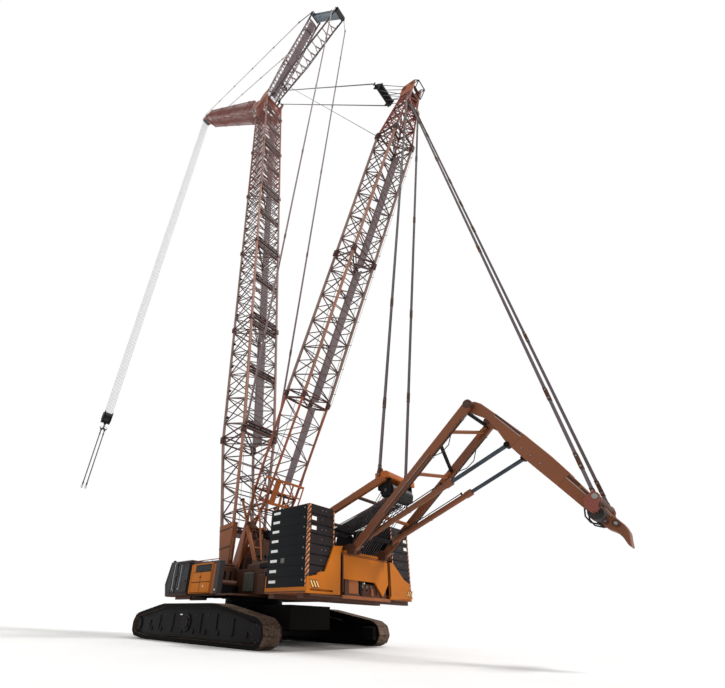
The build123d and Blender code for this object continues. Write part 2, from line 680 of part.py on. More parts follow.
def boom():
    """Foot with plate legs, sections, and the head with its pivot plates."""
    depth, width = BOOM_HALF_DEPTH, BOOM_HALF_WIDTH
    foot_leg = eye_outline(33, ((80, 400), (-80, 400)))
    legs = []
    for side in (-1, 1):
        legs.append(leg(foot_leg, sorted((side * BOOM_LEG_Y[0], side * BOOM_LEG_Y[1])), BOOM_PIN))
    foot = lattice((Station(180, 40, -40, 130), Station(BOOM_FOOT, depth, -depth, width)),
                   BOOM_CHORD, BOOM_LACE, (390, BOOM_FOOT - 20, 3), (BOOM_FOOT - 20,))
    section = straight(SECTION, depth, width, BOOM_CHORD, BOOM_LACE)
    nodes = {"boom_foot": BOOM.place(fuse([foot] + legs))}
    for number in range(BOOM_SECTIONS):
        nodes[f"boom_section_{number + 1}"] = BOOM.place(section, BOOM_FOOT + number * SECTION)
    start = BOOM_FOOT + BOOM_SECTIONS * SECTION
    nodes["boom_head"] = BOOM.place(boom_head(start), start)
    return nodes


def boom_head(start):
    """Short lattice, pivot plates outside it, cross beams, pins and guide sheaves."""
    depth, width = BOOM_HALF_DEPTH, BOOM_HALF_WIDTH
    jib_s = JIB_AT[1] - start
    stay_s = STAY_AT[1] - start
    base_s = REAR_STRUT_AT[1] - start
    frame = lattice((Station(0, depth, -depth, width), Station(440, depth, -depth, width)),
                    BOOM_CHORD, BOOM_LACE, (18, 422, 2), (422,))
    outline = ((-142, 400), (142, 400), (188, jib_s - 60), (188, jib_s + 24), (170, jib_s + 44),
               (120, jib_s + 44), (60, 560), (-40, 620), (-190, stay_s + 30), (-190, stay_s - 24),
               (-142, 470))
    shapes = [frame] + both(plate(outline, PIVOT_PLATE_Y))
    shapes.append(pin(JIB_AT[0], jib_s, JIB_PIN, (-PIVOT_PLATE_Y[0], PIVOT_PLATE_Y[0])))
    shapes += both(rod(STAY_AT[0], stay_s, SMALL_PIN, (STAY_Y - 10, PIVOT_PLATE_Y[0])))
    shapes.append(rod(-20, 500, 34, (-70, 70), WHEEL_SIDES))
    shapes.append(rod(-20, 500, 12, (-PIVOT_PLATE_Y[0], PIVOT_PLATE_Y[0])))
    shapes += both(block((-190, -80), (STRUT_FOOT_Y, STRUT_FOOT_Y + 10), (base_s - 60, base_s + 25)))
    shapes.append(block((-110, -80), (-PIVOT_PLATE_Y[0], PIVOT_PLATE_Y[0]),
                        (base_s - 60, base_s - 30)))
    return fuse(shapes)


def struts_and_stays():
    """Rear strut, standing on the boom, and its stays down to the boom's foot."""
    strut = lattice((Station(20, 16, -16, 68), Station(700, 44, -44, 92), Station(1400, 18, -18, 76)),
                    12, 6, (60, 1320, 5), (60,), faces=(0, 2))
    outline = ((-24, 1330), (24, 1330), (30, 1500), (18, 1530), (-18, 1530), (-30, 1500))
    head = both(plate(outline, (78, 88)))
    head.append(rod(0, REAR_STRUT_LENGTH, REAR_HEAD_PIN, (-165, 165)))
    feet = both(block((-14, 14), (56, STRUT_FOOT_Y), (0, 60)))
    nodes = {"rear_strut": REAR_STRUT.place(fuse([strut] + head + feet))}
    top = REAR_STRUT.point(0, REAR_STRUT_LENGTH)
    low = BOOM.point(-BOOM_HALF_DEPTH - 30, BOOM_FOOT + 40)
    stays = []
    for side in (-1, 1):
        y = side * STRUT_STAY_Y
        socket = BOOM.place(block((-BOOM_HALF_DEPTH - 45, -BOOM_HALF_DEPTH - BOOM_CHORD / 2),
                                  sorted((side * 147, side * 161)),
                                  (BOOM_FOOT + 20, BOOM_FOOT + 60)))
        run = bar((top[0], y, top[2]), (low[0], y, low[2]), 7, 8)
        eye = rod(top[0], top[2], 17, (y - 3.5, y + 3.5))
        stays.append(fuse([run, eye, socket]) - bore(top[0], top[2], REAR_HEAD_PIN, (y - 3.5, y + 3.5)))
    nodes["rear_stays"] = apart(stays)
    return nodes


def luffing_gear():
    """Boom stays, the derrick's luffing sheaves and the travelling block at the rope's end."""
    top = BOOM.point(*STAY_AT)
    mast = DERRICK.point(*LUFFING_PIN_AT)
    line = Mast((mast[0], mast[2]), degrees(atan2(top[2] - mast[2], top[0] - mast[0])))
    block_s = 420.0
    low = line.point(0, block_s + 70)
    stays = []
    for side in (-1, 1):
        upper = (top[0], side * STAY_Y, top[2])
        lower = (low[0], side * STAY_Y, low[2])
        stays.append(strap(upper, lower, SMALL_PIN, bores=1))
    sheaves = line.place(rod(0, 0, 42, (-40, 40), SHEAVE_SIDES) - bore(0, 0, 10, (-40, 40)))
    body = [plate(((-30, block_s - 30), (30, block_s - 30), (24, block_s + 90), (-24, block_s + 90)),
                  sorted((side * 90, side * 100))) for side in (-1, 1)]
    body.append(rod(0, block_s, 34, (-90, 90), WHEEL_SIDES))
    reach = STAY_Y - OPEN_GAP
    body.append(rod(0, block_s + 70, SMALL_PIN, (-reach, reach)))
    return {
        "boom_stays": apart(stays),
        "derrick_luffing_sheaves": sheaves,
        "luffing_block": line.place(fuse(body)),
    }


# ---------------------------------------------------------------------------- jib
def jib():
    """Jib foot, sections and head, the front strut on the same pivot, and the front stays."""
    depth, width = JIB_HALF_DEPTH, JIB_HALF_WIDTH
    legs = []
    for side in (-1, 1):
        legs.append(leg(eye_outline(28, ((50, 260), (-50, 260))),
                        sorted((side * JIB_LUG_Y[0], side * JIB_LUG_Y[1])), JIB_PIN))
    foot = lattice((Station(150, 30, -30, width), Station(JIB_FOOT, depth, -depth, width)),
                   JIB_CHORD, JIB_LACE, (250, JIB_FOOT - 20, 2), (JIB_FOOT - 20,))
    section = straight(SECTION, depth, width, JIB_CHORD, JIB_LACE)
    nodes = {"jib_foot": JIB.place(fuse([foot] + legs))}
    for number in range(JIB_SECTIONS):
        nodes[f"jib_section_{number + 1}"] = JIB.place(section, JIB_FOOT + number * SECTION)
    start = JIB_FOOT + JIB_SECTIONS * SECTION
    tip_s = TIP_AT[1] - start
    head = lattice((Station(0, depth, -depth, width), Station(680, 46, -46, 84)),
                   JIB_CHORD, JIB_LACE, (20, 600, 3))
    outline = ((-55, 620), (55, 620), (100, tip_s - 40), (100, tip_s + 30), (30, tip_s + 40),
               (-60, tip_s - 60), (-80, 780), (-55, 740))
    shapes = [head] + both(plate(outline, (82, 94)))
    shapes.append(rod(TIP_AT[0], tip_s, 10, (-82, 82)))
    shapes += both(rod(-60, 780, SMALL_PIN, (94, 112)))
    shapes.append(rod(0, 780, 14, (-82, 82)))
    nodes["jib_head"] = JIB.place(fuse(shapes), start)

    strut_feet = []
    for side in (-1, 1):
        strut_feet.append(leg(eye_outline(26, ((26, 200), (-26, 200))),
                              sorted((side * STRUT_LUG_Y[0], side * STRUT_LUG_Y[1])), JIB_PIN))
    strut = lattice((Station(150, 20, -20, 98), Station(900, 52, -52, 104), Station(1690, 20, -20, 88)),
                    12, 6, (190, 1600, 5), faces=(0, 2))
    outline = ((-26, 1620), (26, 1620), (32, 1880), (20, 1918), (-20, 1918), (-32, 1880))
    strut_head = both(plate(outline, (86, 98)))
    strut_head += both(rod(0, STRUT_LENGTH, SMALL_PIN, (98, 130)))
    strut_head.append(rod(0, 1780, 8, (-86, 86)))
    nodes["front_strut"] = STRUT.place(fuse([strut] + strut_feet + strut_head))

    high = STRUT.point(0, STRUT_LENGTH)
    far = JIB.point(-60, start + 780)
    stays = []
    for side in (-1, 1):
        stays.append(strap((high[0], side * FRONT_STAY_Y, high[2]),
                           (far[0], side * 103, far[2]), SMALL_PIN))
    nodes["front_stays"] = apart(stays)
    return nodes


def strut_reeving():
    """Sheave blocks of the ropes between the two strut heads."""
    rear = REAR_STRUT.point(0, REAR_STRUT_LENGTH)
    front = STRUT.point(0, STRUT_LENGTH)
    sheaves = rod(rear[0], rear[2], 36, (-72, 72), SHEAVE_SIDES)
    sheaves -= bore(rear[0], rear[2], REAR_HEAD_PIN, (-72, 72))
    return {"rear_strut_sheaves": sheaves,
            "front_strut_sheaves": rod(front[0], front[2], 36, (-72, 72), SHEAVE_SIDES)}


# ---------------------------------------------------------------------------- hoist
def hoist():
    """Tip sheaves, rope guide below them, hook block, hook and its two slings."""
    tip = JIB.point(*TIP_AT)
    sheaves = rod(tip[0], tip[2], 44, (-70, 70), SHEAVE_SIDES) - bore(tip[0], tip[2], 10, (-70, 70))
    hangers = both(plate(((tip[0] - 14, tip[2] - 84), (tip[0] + 14, tip[2] - 84),
                          (tip[0] + 14, tip[2] + 16), (tip[0] - 14, tip[2] + 16)), (73, 77)))
    hangers = [piece - bore(tip[0], tip[2], 10, (-80, 80)) for piece in hangers]
    guide = fuse(hangers + [block((tip[0] - 14, tip[0] + 14), (-77, 77), (tip[2] - 84, tip[2] - 66))])
    x, z = HOOK_X, HOOK_Z
    outline = ((x - 18, z), (x + 18, z), (x + 40, z + 90), (x + 40, z + 300), (x + 22, z + 340),
               (x - 22, z + 340), (x - 40, z + 300), (x - 40, z + 90))
    body = both(plate(outline, (52, 64)))
    body.append(rod(x, z + 290, 38, (-52, 52), SHEAVE_SIDES))
    body.append(block((x - 18, x + 18), (-64, 64), (z, z + 40)))
    hook = hook_shape()
    slings = []
    for side in (-1, 1):
        low = z - 110 - HOOK_BOWL_RADIUS - 22
        slings.append(bar((x, side * HOOK_BOWL_Y, low), (x, side * HOOK_BOWL_Y, SLING_END), 5))
    return {
        "tip_sheaves": sheaves,
        "hoist_rope_guide": guide,
        "hook_block": fuse(body),
        "hook": hook,
        "hook_slings": apart(slings),
    }


def hook_shape():
    """Double hook with its shank, flat, as a profile in the YZ plane."""
    x, z = HOOK_X, HOOK_Z
    face = Pos(0, z - 75) * Rectangle(26, 50)
    for side in (-1, 1):
        face += Pos(side * HOOK_BOWL_Y, z - 110) * RegularPolygon(HOOK_BOWL_RADIUS + 22, WHEEL_SIDES)
    for side in (-1, 1):
        face -= Pos(side * HOOK_BOWL_Y, z - 110) * RegularPolygon(HOOK_BOWL_RADIUS, WHEEL_SIDES)
        face -= Pos(side * (HOOK_BOWL_Y + 6), z - 70) * Rectangle(32, 60)
    shank = Pos(x, 0, z - 60) * Cylinder(13, 60, align=(Align.CENTER, Align.CENTER, Align.MIN))
    return fuse([Pos(x - 12, 0, 0) * extrude(Plane.YZ * face, amount=24), shank])


# ---------------------------------------------------------------------------- superlift
def superlift():
    """Rails with cross members, the folding arm, two cylinders and the hanging pendants."""
    length = hypot(SUPERLIFT_TOP[0] - SUPERLIFT_FOOT[0], SUPERLIFT_TOP[1] - SUPERLIFT_FOOT[1])
    base_s = ((CYLINDER_BASE[0] - SUPERLIFT_FOOT[0]) * RAIL.along[0]
              + (CYLINDER_BASE[1] - SUPERLIFT_FOOT[1]) * RAIL.along[1])
    base_x = ((CYLINDER_BASE[0] - SUPERLIFT_FOOT[0]) * RAIL.across[0]
              + (CYLINDER_BASE[1] - SUPERLIFT_FOOT[1]) * RAIL.across[1])
    outer = SUPERLIFT_RAIL_Y + 12
    inner = SUPERLIFT_RAIL_Y - 12
    rails = []
    for side in (-1, 1):
        y = sorted((side * inner, side * outer))
        rail = plate(((-14, -14), (14, -14), (20, 60), (20, length - 10), (14, length + 16),
                      (-14, length + 16), (-20, length - 10), (-20, 60)), y)
        rails.append(rail - bore(0, 0, SMALL_PIN, y))
        rails.append(rod(base_x, base_s, 9, sorted((side * 58, side * inner))))
    rails.append(pin(0, length, 12, (-inner, inner)))
    for s in (290, 560):
        rails.append(block((4, 20), (-inner, inner), (s, s + 16)))
    arm = both(rod(0, 0, 22, (84, 110)))
    tip_s = 627.0
    eye = ((CYLINDER_EYE[0] - SUPERLIFT_TOP[0]) * ARM.across[0]
           + (CYLINDER_EYE[1] - SUPERLIFT_TOP[1]) * ARM.across[1],
           (CYLINDER_EYE[0] - SUPERLIFT_TOP[0]) * ARM.along[0]
           + (CYLINDER_EYE[1] - SUPERLIFT_TOP[1]) * ARM.along[1])
    for side in (-1, 1):
        arm.append(tapered((0, side * 97, 12.5), (0, side * 97, 270), (26, 40), (26, 62)))
        arm.append(tapered((0, side * 97, 269), (0, side * 16, 465), (26, 62), (26, 58)))
        arm.append(rod(eye[0], eye[1], 9, sorted((side * 81, side * 84))))
    arm.append(tapered((0, 0, 450), (0, 0, tip_s), (44, 62), (44, 40)))
    arm.append(tapered((-8, 0, tip_s - 10), (-30, 0, tip_s + 120), (44, 30), (44, 24)))
    reach = PENDANT_Y[1] - OPEN_GAP
    arm.append(rod(35, 603, 9, (-reach, reach)))
    arm.append(block((0, 46), (-60, 60), (588, 618)))
    arm_shape = fuse(arm) - bore(0, 0, 12, (-120, 120)) - pin(-28, tip_s + 104, 8, (-22, 22))
    stroke = hypot(CYLINDER_EYE[0] - CYLINDER_BASE[0], CYLINDER_EYE[1] - CYLINDER_BASE[1])
    barrels = []
    rods = []
    for side in (-1, 1):
        y = side * CYLINDER_Y
        tube = Pos(0, y, 0) * (prism(13, 0, 560) - prism(8, 40, 560))
        barrel = fuse([tube, rod(0, 0, 13, (y - 12, y + 12))])
        barrels.append(barrel - bore(0, 0, 9, (y - 13, y + 13)))
        piston = Pos(0, y, 0) * prism(7, 200, stroke)
        rods.append(fuse([piston, rod(0, stroke, 15, (y - 10, y + 10))]))
    top = DERRICK.point(*SUPERLIFT_PIN_AT)
    low = ARM.point(35, 603)
    pendants = [strap((top[0], side * PENDANT_Y[0], top[2]), (low[0], side * PENDANT_Y[1], low[2]),
                      SUPERLIFT_PIN, bores=1) for side in (-1, 1)]
    return {
        "superlift_frame": RAIL.place(fuse(rails)),
        "superlift_arm": ARM.place(arm_shape),
        "superlift_barrels": CYLINDER.place(apart(barrels)),
        "superlift_rods": CYLINDER.place(apart(rods)),
        "superlift_pendants": apart(pendants),
    }


# ---------------------------------------------------------------------------- write
def main():
    """Build every piece and write one file for each."""
    os.makedirs("parts", exist_ok=True)
    nodes = {}
    for make in (undercarriage, superstructure, boom, struts_and_stays, luffing_gear, jib,
                 strut_reeving, hoist, superlift):
        nodes.update(make())
    for name, shape in nodes.items():
        export_step(shape, f"parts/{name}.step")
        print(name, len(shape.solids()))
    print("boom pivot", BOOM_PIVOT, "jib pivot", JIB_PIVOT, "tip", JIB.point(*TIP_AT))


if __name__ == "__main__":
    main()
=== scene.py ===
"""Looks of a crawler crane with luffing jib and derrick, a 1:10 scale model.

Everything is in metres of the model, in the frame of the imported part: +X is the boom's side, +Y
the cab's side, +Z up, and the origin lies on the ground under the slewing axis. A shape is made
on the left side, on the right or on both, as its `on` says; places are given for the left.
"""

import json
import logging
from dataclasses import dataclass
from enum import Enum
from math import atan2, cos, pi, radians, sin, tau
from typing import Iterable, Optional, Sequence

import bmesh
import bpy
from mathutils import Matrix, Vector


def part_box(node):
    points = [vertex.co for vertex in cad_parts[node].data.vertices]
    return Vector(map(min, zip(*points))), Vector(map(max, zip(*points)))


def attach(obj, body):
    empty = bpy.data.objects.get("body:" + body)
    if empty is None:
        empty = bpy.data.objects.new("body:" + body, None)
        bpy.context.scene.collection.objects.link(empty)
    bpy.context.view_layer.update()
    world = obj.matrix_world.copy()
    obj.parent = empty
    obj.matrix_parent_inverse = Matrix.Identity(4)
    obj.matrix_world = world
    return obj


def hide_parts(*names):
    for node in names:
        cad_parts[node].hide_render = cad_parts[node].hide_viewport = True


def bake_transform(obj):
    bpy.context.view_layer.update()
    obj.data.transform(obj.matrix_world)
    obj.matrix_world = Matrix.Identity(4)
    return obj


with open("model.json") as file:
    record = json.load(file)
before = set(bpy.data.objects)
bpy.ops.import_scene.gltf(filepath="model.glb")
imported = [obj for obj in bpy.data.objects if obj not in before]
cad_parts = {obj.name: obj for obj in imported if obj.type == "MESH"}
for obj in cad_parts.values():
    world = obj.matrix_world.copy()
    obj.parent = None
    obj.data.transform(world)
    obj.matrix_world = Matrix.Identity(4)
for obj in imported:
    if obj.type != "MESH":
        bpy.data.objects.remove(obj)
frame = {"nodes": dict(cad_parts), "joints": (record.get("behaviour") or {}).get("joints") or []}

log = logging.getLogger("crane")
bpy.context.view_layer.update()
SHARP = radians(32)
Point = Sequence[float]
Socket = bpy.types.NodeSocket


# ------------------------------------------------------------------------------- lines and masts
class Slot(Enum):
    """The record's material slots."""

    LATTICE = "lattice_paint"
    MACHINE = "machine_paint"
    BROWN = "brown_paint"
    FRAME = "frame_paint"
    SLATE = "slate_paint"
    TRACK = "track_steel"
    SHEAVE = "sheave_steel"
    PENDANT = "pendant_steel"
    CHROME = "rod_chrome"
    TRIM = "cab_trim"


class Side(Enum):
    """Sides of the crane; the value holds the signs that y takes on them."""

    LEFT = (1,)
    RIGHT = (-1,)
    BOTH = (1, -1)


def joint_point(name: str) -> Vector:
    """Place of a joint's axis at rest, by the joint's name in the record."""
    joint = next(joint for joint in frame["joints"] if joint["name"] == name)
    return Vector(joint["pos_m"])


@dataclass(frozen=True)
class Mast:
    """A frame that leans in the XZ plane: s runs along it, x across it, forwards or down."""

    pivot: Vector
    angle: float

    def matrix(self, s: float = 0.0) -> Matrix:
        """Frame with x across, y sideways and z along the mast, from s along it.

        Args:
            s: Where the frame lies along the mast.

        Returns:
            The frame's matrix.
        """
        turn = radians(self.angle)
        along = Vector((cos(turn), 0, sin(turn)))
        across = Vector((sin(turn), 0, -cos(turn)))
        columns = Matrix((across, Vector((0, 1, 0)), along)).transposed().to_4x4()
        return Matrix.Translation(self.pivot + along * s) @ columns

    def point(self, x: float, y: float, s: float) -> Vector:
        """Point at x across, y sideways and s along the mast."""
        return self.matrix(s) @ Vector((x, y, 0))


def leaning(start: Vector, end: Vector) -> Mast:
    """Mast that runs from its pivot at the start towards the end, in the XZ plane."""
    return Mast(start, atan2(end.z - start.z, end.x - start.x) * 180 / pi)


BOOM = Mast(joint_point("boom_luff"), 83.96)
JIB = Mast(joint_point("jib_luff"), 53.73)
DERRICK = Mast(Vector((0.086, 0, 0.385)), 112.6)
STRUT = Mast(JIB.pivot, 129.7)
REAR_STRUT = Mast(BOOM.point(-0.15, 0, 7.64), 167.87)
STRUT_LENGTH = 1.89
REAR_STRUT_LENGTH = 1.5018
SUPERLIFT_FOOT = joint_point("superlift_luff")
SUPERLIFT_TOP = joint_point("superlift_fold")
CYLINDER_BASE = joint_point("superlift_cylinder_swing")
RAIL = leaning(SUPERLIFT_FOOT, SUPERLIFT_TOP)
LUFFING_LINE = leaning(joint_point("luffing_rope_swing"), joint_point("boom_stays_swing"))
STRUT_LINE = leaning(joint_point("strut_rope_swing"), STRUT.point(0, 0, STRUT_LENGTH))
TIP = joint_point("tip_plumb")
HOOK = joint_point("hook_swivel")
GANTRY_HEAD = Vector((-1.07, 0, 0.79))


# ------------------------------------------------------------------------------- node helpers
def linear(code: str, factor: float = 1.0) -> tuple[float, float, float, float]:
    """Colour for a shader socket.

    Args:
        code: An sRGB colour such as "#d87a1e".
        factor: How much lighter or darker it gets, in linear values.

    Returns:
        The linear colour with an alpha of one.
    """
    values = [int(code[place:place + 2], 16) / 255 for place in (1, 3, 5)]
    values = [v / 12.92 if v <= 0.04045 else ((v + 0.055) / 1.055) ** 2.4 for v in values]
    return (*(min(1.0, v * factor) for v in values), 1.0)


class Nodes:
    """A node tree with short calls for adding and linking."""

    def __init__(self, tree: bpy.types.NodeTree) -> None:
        """Starts on a tree without clearing it."""
        self.tree = tree

    def feed(self, node: bpy.types.Node, inputs: dict) -> None:
        """Links sockets to a node's inputs, or sets their values, by name or number.

        Args:
            node: The node.
            inputs: Values or sockets by input name or number.
        """
        for name, value in inputs.items():
            if isinstance(value, Socket):
                self.tree.links.new(value, node.inputs[name])
            else:
                node.inputs[name].default_value = value

    def add(self, kind: str, inputs: Optional[dict] = None, **settings: object) -> bpy.types.Node:
        """Adds a node.

        Args:
            kind: The node's type, without the ShaderNode prefix.
            inputs: Values or sockets by input name or number.
            settings: Values of the node's own settings.

        Returns:
            The new node.
        """
        prefix = "" if kind.startswith("NodeGroup") else "ShaderNode"
        node = self.tree.nodes.new(prefix + kind)
        for name, value in settings.items():
            setattr(node, name, value)
        self.feed(node, inputs or {})
        return node

    def maths(self, operation: str, *values: object, clamp: bool = False) -> Socket:
        """Result of a Math node on values or sockets."""
        inputs = dict(enumerate(values))
        return self.add("Math", inputs, operation=operation, use_clamp=clamp).outputs[0]

    def blend(self, factor: object, first: object, second: object) -> Socket:
        """Colour between the first and the second by a factor."""
        return self.add("Mix", {0: factor, 6: first, 7: second}, data_type="RGBA").outputs[2]

    def spread(self, value: object, low: float, high: float, first: float = 0.0,
               last: float = 1.0) -> Socket:
        """Value mapped from low and high to first and last, without leaving them."""
        inputs = {0: value, 1: low, 2: high, 3: first, 4: last}
        return self.add("MapRange", inputs, clamp=True).outputs[0]

    def place(self) -> Socket:
        """Place on the object in its own coordinates."""
        return self.add("TexCoord").outputs["Object"]

    def axis(self, vector: Socket, name: str) -> Socket:
        """One coordinate of a vector."""
        return self.add("SeparateXYZ", {0: vector}).outputs[name]

    def noise(self, place: Socket, scale: object, detail: float, rough: float = 0.5) -> Socket:
        """Value of a noise texture."""
        inputs = {"Vector": place, "Scale": scale, "Detail": detail, "Roughness": rough}
        return self.add("TexNoise", inputs).outputs[0]

    def bump(self, strength: float, distance: float, height: Socket) -> Socket:
        """Normal of a relief."""
        inputs = {"Strength": strength, "Distance": distance, "Height": height}
        return self.add("Bump", inputs).outputs[0]


class Effect(Enum):
    """Shader node groups that several materials share."""

    EDGE_WEAR = "edge wear"
    DUST = "dust"
    FADE = "fade"


def effect_tree(effect: Effect) -> bpy.types.NodeTree:
    """Node group of an effect, built on first use.

    Args:
        effect: The effect.

    Returns:
        The group's tree.
    """
    if effect.value in bpy.data.node_groups:
        return bpy.data.node_groups[effect.value]
    tree = bpy.data.node_groups.new(effect.value, "ShaderNodeTree")
    builders = {Effect.EDGE_WEAR: build_edge_wear, Effect.DUST: build_dust, Effect.FADE: build_fade}
    builders[effect](tree)
    return tree


def group_ends(tree: bpy.types.NodeTree, inputs: dict[str, float],
               outputs: Sequence[str]) -> tuple[Nodes, bpy.types.Node, bpy.types.Node]:
    """Sockets and end nodes of a group.

    Args:
        tree: The group's tree.
        inputs: Default value of each named input.
        outputs: Names of the outputs.

    Returns:
        The tree's helper, its input node and its output node.
    """
    for name, value in inputs.items():
        socket = tree.interface.new_socket(name, in_out="INPUT", socket_type="NodeSocketFloat")
        socket.default_value = value
    for name in outputs:
        tree.interface.new_socket(name, in_out="OUTPUT", socket_type="NodeSocketFloat")
    nodes = Nodes(tree)
    return nodes, nodes.add("NodeGroupInput"), nodes.add("NodeGroupOutput")


def build_edge_wear(tree: bpy.types.NodeTree) -> None:
    """Mask of the edges where paint is rubbed off, broken up by noise.

    Args:
        tree: The group's tree.
    """
    nodes, given, result = group_ends(tree, {"Amount": 0.4, "Width": 0.003}, ["Mask"])
    rounded = nodes.add("Bevel", {"Radius": given.outputs["Width"]}, samples=4)
    facing = nodes.add("NewGeometry")
    dot = nodes.add("VectorMath", {0: rounded.outputs[0], 1: facing.outputs["Normal"]},
                    operation="DOT_PRODUCT")
    edge = nodes.spread(dot.outputs["Value"], 0.99, 0.8)
    broken = nodes.spread(nodes.noise(nodes.place(), 38.0, 5.0, 0.7), 0.42, 0.62)
    mask = nodes.maths("MULTIPLY", nodes.maths("MULTIPLY", edge, broken), given.outputs["Amount"])
    nodes.feed(result, {"Mask": mask})


def build_dust(tree: bpy.types.NodeTree) -> None:
    """Mask of dust: thick on what faces up and near the ground, in streaks elsewhere.

    Args:
        tree: The group's tree.
    """
    inputs = {"Amount": 0.3, "Scale": 9.0, "Ground": 0.25}
    nodes, given, result = group_ends(tree, inputs, ["Mask"])
    place = nodes.place()
    up = nodes.axis(nodes.add("NewGeometry").outputs["Normal"], "Z")
    height = nodes.maths("DIVIDE", nodes.axis(place, "Z"), given.outputs["Ground"])
    low = nodes.spread(nodes.maths("SUBTRACT", 1.0, height), 0.0, 1.0)
    near = nodes.maths("ADD", nodes.spread(up, 0.2, 0.95, 0.25, 1.0),
                       nodes.maths("MULTIPLY", low, 0.8))
    cloud = nodes.noise(place, given.outputs["Scale"], 7.0, 0.62)
    streaks = nodes.add("Mapping", {"Vector": place, "Scale": (7.0, 7.0, 0.7)})
    streak = nodes.noise(streaks.outputs[0], 6.0, 3.0)
    patchy = nodes.maths("ADD", nodes.spread(cloud, 0.35, 0.7),
                         nodes.spread(streak, 0.5, 0.75, 0.0, 0.5))
    mask = nodes.maths("MULTIPLY", nodes.maths("MULTIPLY", near, patchy),
                       given.outputs["Amount"], clamp=True)
    nodes.feed(result, {"Mask": mask})


def build_fade(tree: bpy.types.NodeTree) -> None:
    """Slow change of a paint's shade over a piece, and its fine grain.

    Args:
        tree: The group's tree.
    """
    nodes, given, result = group_ends(tree, {"Scale": 3.0, "Grain": 260.0}, ["Shade", "Height"])
    place = nodes.place()
    slow = nodes.noise(place, given.outputs["Scale"], 4.0)
    fine = nodes.noise(place, given.outputs["Grain"], 2.0)
    nodes.feed(result, {"Shade": nodes.spread(slow, 0.3, 0.7), "Height": fine})


# ------------------------------------------------------------------------------- finishes
@dataclass(frozen=True)
class Finish:
    """Something a surface can be finished with; its name is the material's."""

    name: str

    def material(self) -> bpy.types.Material:
        """The finish's material, built on first use.

        Returns:
            The material.
        """
        if self.name in bpy.data.materials:
            return bpy.data.materials[self.name]
        material = bpy.data.materials.new(self.name)
        material.use_nodes = True
        nodes = Nodes(material.node_tree)
        nodes.feed(material.node_tree.nodes["Principled BSDF"], self.build(nodes))
        return material

    def build(self, nodes: Nodes) -> dict:
        """Builds the nodes and gives the shader's inputs; each kind of finish has its own."""
        raise NotImplementedError

    def effect(self, nodes: Nodes, effect: Effect, **inputs: float) -> bpy.types.NodeOutputs:
        """Outputs of an effect's group with values of this finish's own."""
        values = {name.capitalize(): value for name, value in inputs.items()}
        return nodes.add("Group", values, node_tree=effect_tree(effect)).outputs


@dataclass(frozen=True)
class Paint(Finish):
    """Paint on steel, faded, dusty and worn at its edges."""

    colour: str = "#808080"
    rough: float = 0.5
    dust: float = 0.3
    dust_colour: str = "#8b7763"
    wear: float = 0.0
    worn_colour: str = "#5a4a42"
    gloss: float = 0.5
    fade: float = 0.22

    def build(self, nodes: Nodes) -> dict:
        """Base colour, roughness and grain.

        Args:
            nodes: The material's nodes.

        Returns:
            Values and sockets by the names of the shader's inputs.
        """
        fade = self.effect(nodes, Effect.FADE)
        colour = nodes.blend(fade["Shade"], linear(self.colour, 1 - self.fade),
                             linear(self.colour, 1 + self.fade))
        rough = nodes.spread(fade["Shade"], 0.0, 1.0, self.rough - 0.06, self.rough + 0.1)
        if self.wear:
            worn = self.effect(nodes, Effect.EDGE_WEAR, amount=self.wear)["Mask"]
            colour = nodes.blend(worn, colour, linear(self.worn_colour))
        dust = self.effect(nodes, Effect.DUST, amount=self.dust)["Mask"]
        return {"Base Color": nodes.blend(dust, colour, linear(self.dust_colour)),
                "Roughness": nodes.maths("ADD", rough, nodes.maths("MULTIPLY", dust, 0.35)),
                "Normal": nodes.bump(0.12, 0.001, fade["Height"]),
                "Specular IOR Level": self.gloss}


@dataclass(frozen=True)
class Metal(Finish):
    """Bare or plated metal with smears."""

    colour: str = "#b5b5b8"
    rough: float = 0.25
    metallic: float = 1.0

    def build(self, nodes: Nodes) -> dict:
        """Base colour, roughness and grain.

        Args:
            nodes: The material's nodes.

        Returns:
            Values and sockets by the names of the shader's inputs.
        """
        fade = self.effect(nodes, Effect.FADE, scale=14.0, grain=300.0)
        colour = nodes.blend(fade["Shade"], linear(self.colour, 0.7), linear(self.colour))
        rough = nodes.spread(fade["Shade"], 0.0, 1.0, self.rough + 0.15, self.rough)
        return {"Base Color": colour, "Roughness": rough, "Metallic": self.metallic,
                "Normal": nodes.bump(0.15, 0.0006, fade["Height"])}


@dataclass(frozen=True)
class WireRope(Finish):
    """Greased wire rope, its strands a slanted wave round and along it."""

    colour: str = "#8f9092"

    def build(self, nodes: Nodes) -> dict:
        """The strands' colour and relief.

        Args:
            nodes: The material's nodes.

        Returns:
            Values and sockets by the names of the shader's inputs.
        """
        inputs = {"Vector": nodes.place(), "Scale": 90.0, "Distortion": 1.5, "Detail": 1.0}
        wave = nodes.add("TexWave", inputs, bands_direction="DIAGONAL").outputs["Fac"]
        return {"Base Color": nodes.blend(wave, linear(self.colour, 0.45), linear(self.colour)),
                "Roughness": nodes.spread(wave, 0.0, 1.0, 0.6, 0.42), "Metallic": 0.35,
                "Normal": nodes.bump(0.4, 0.0008, wave)}


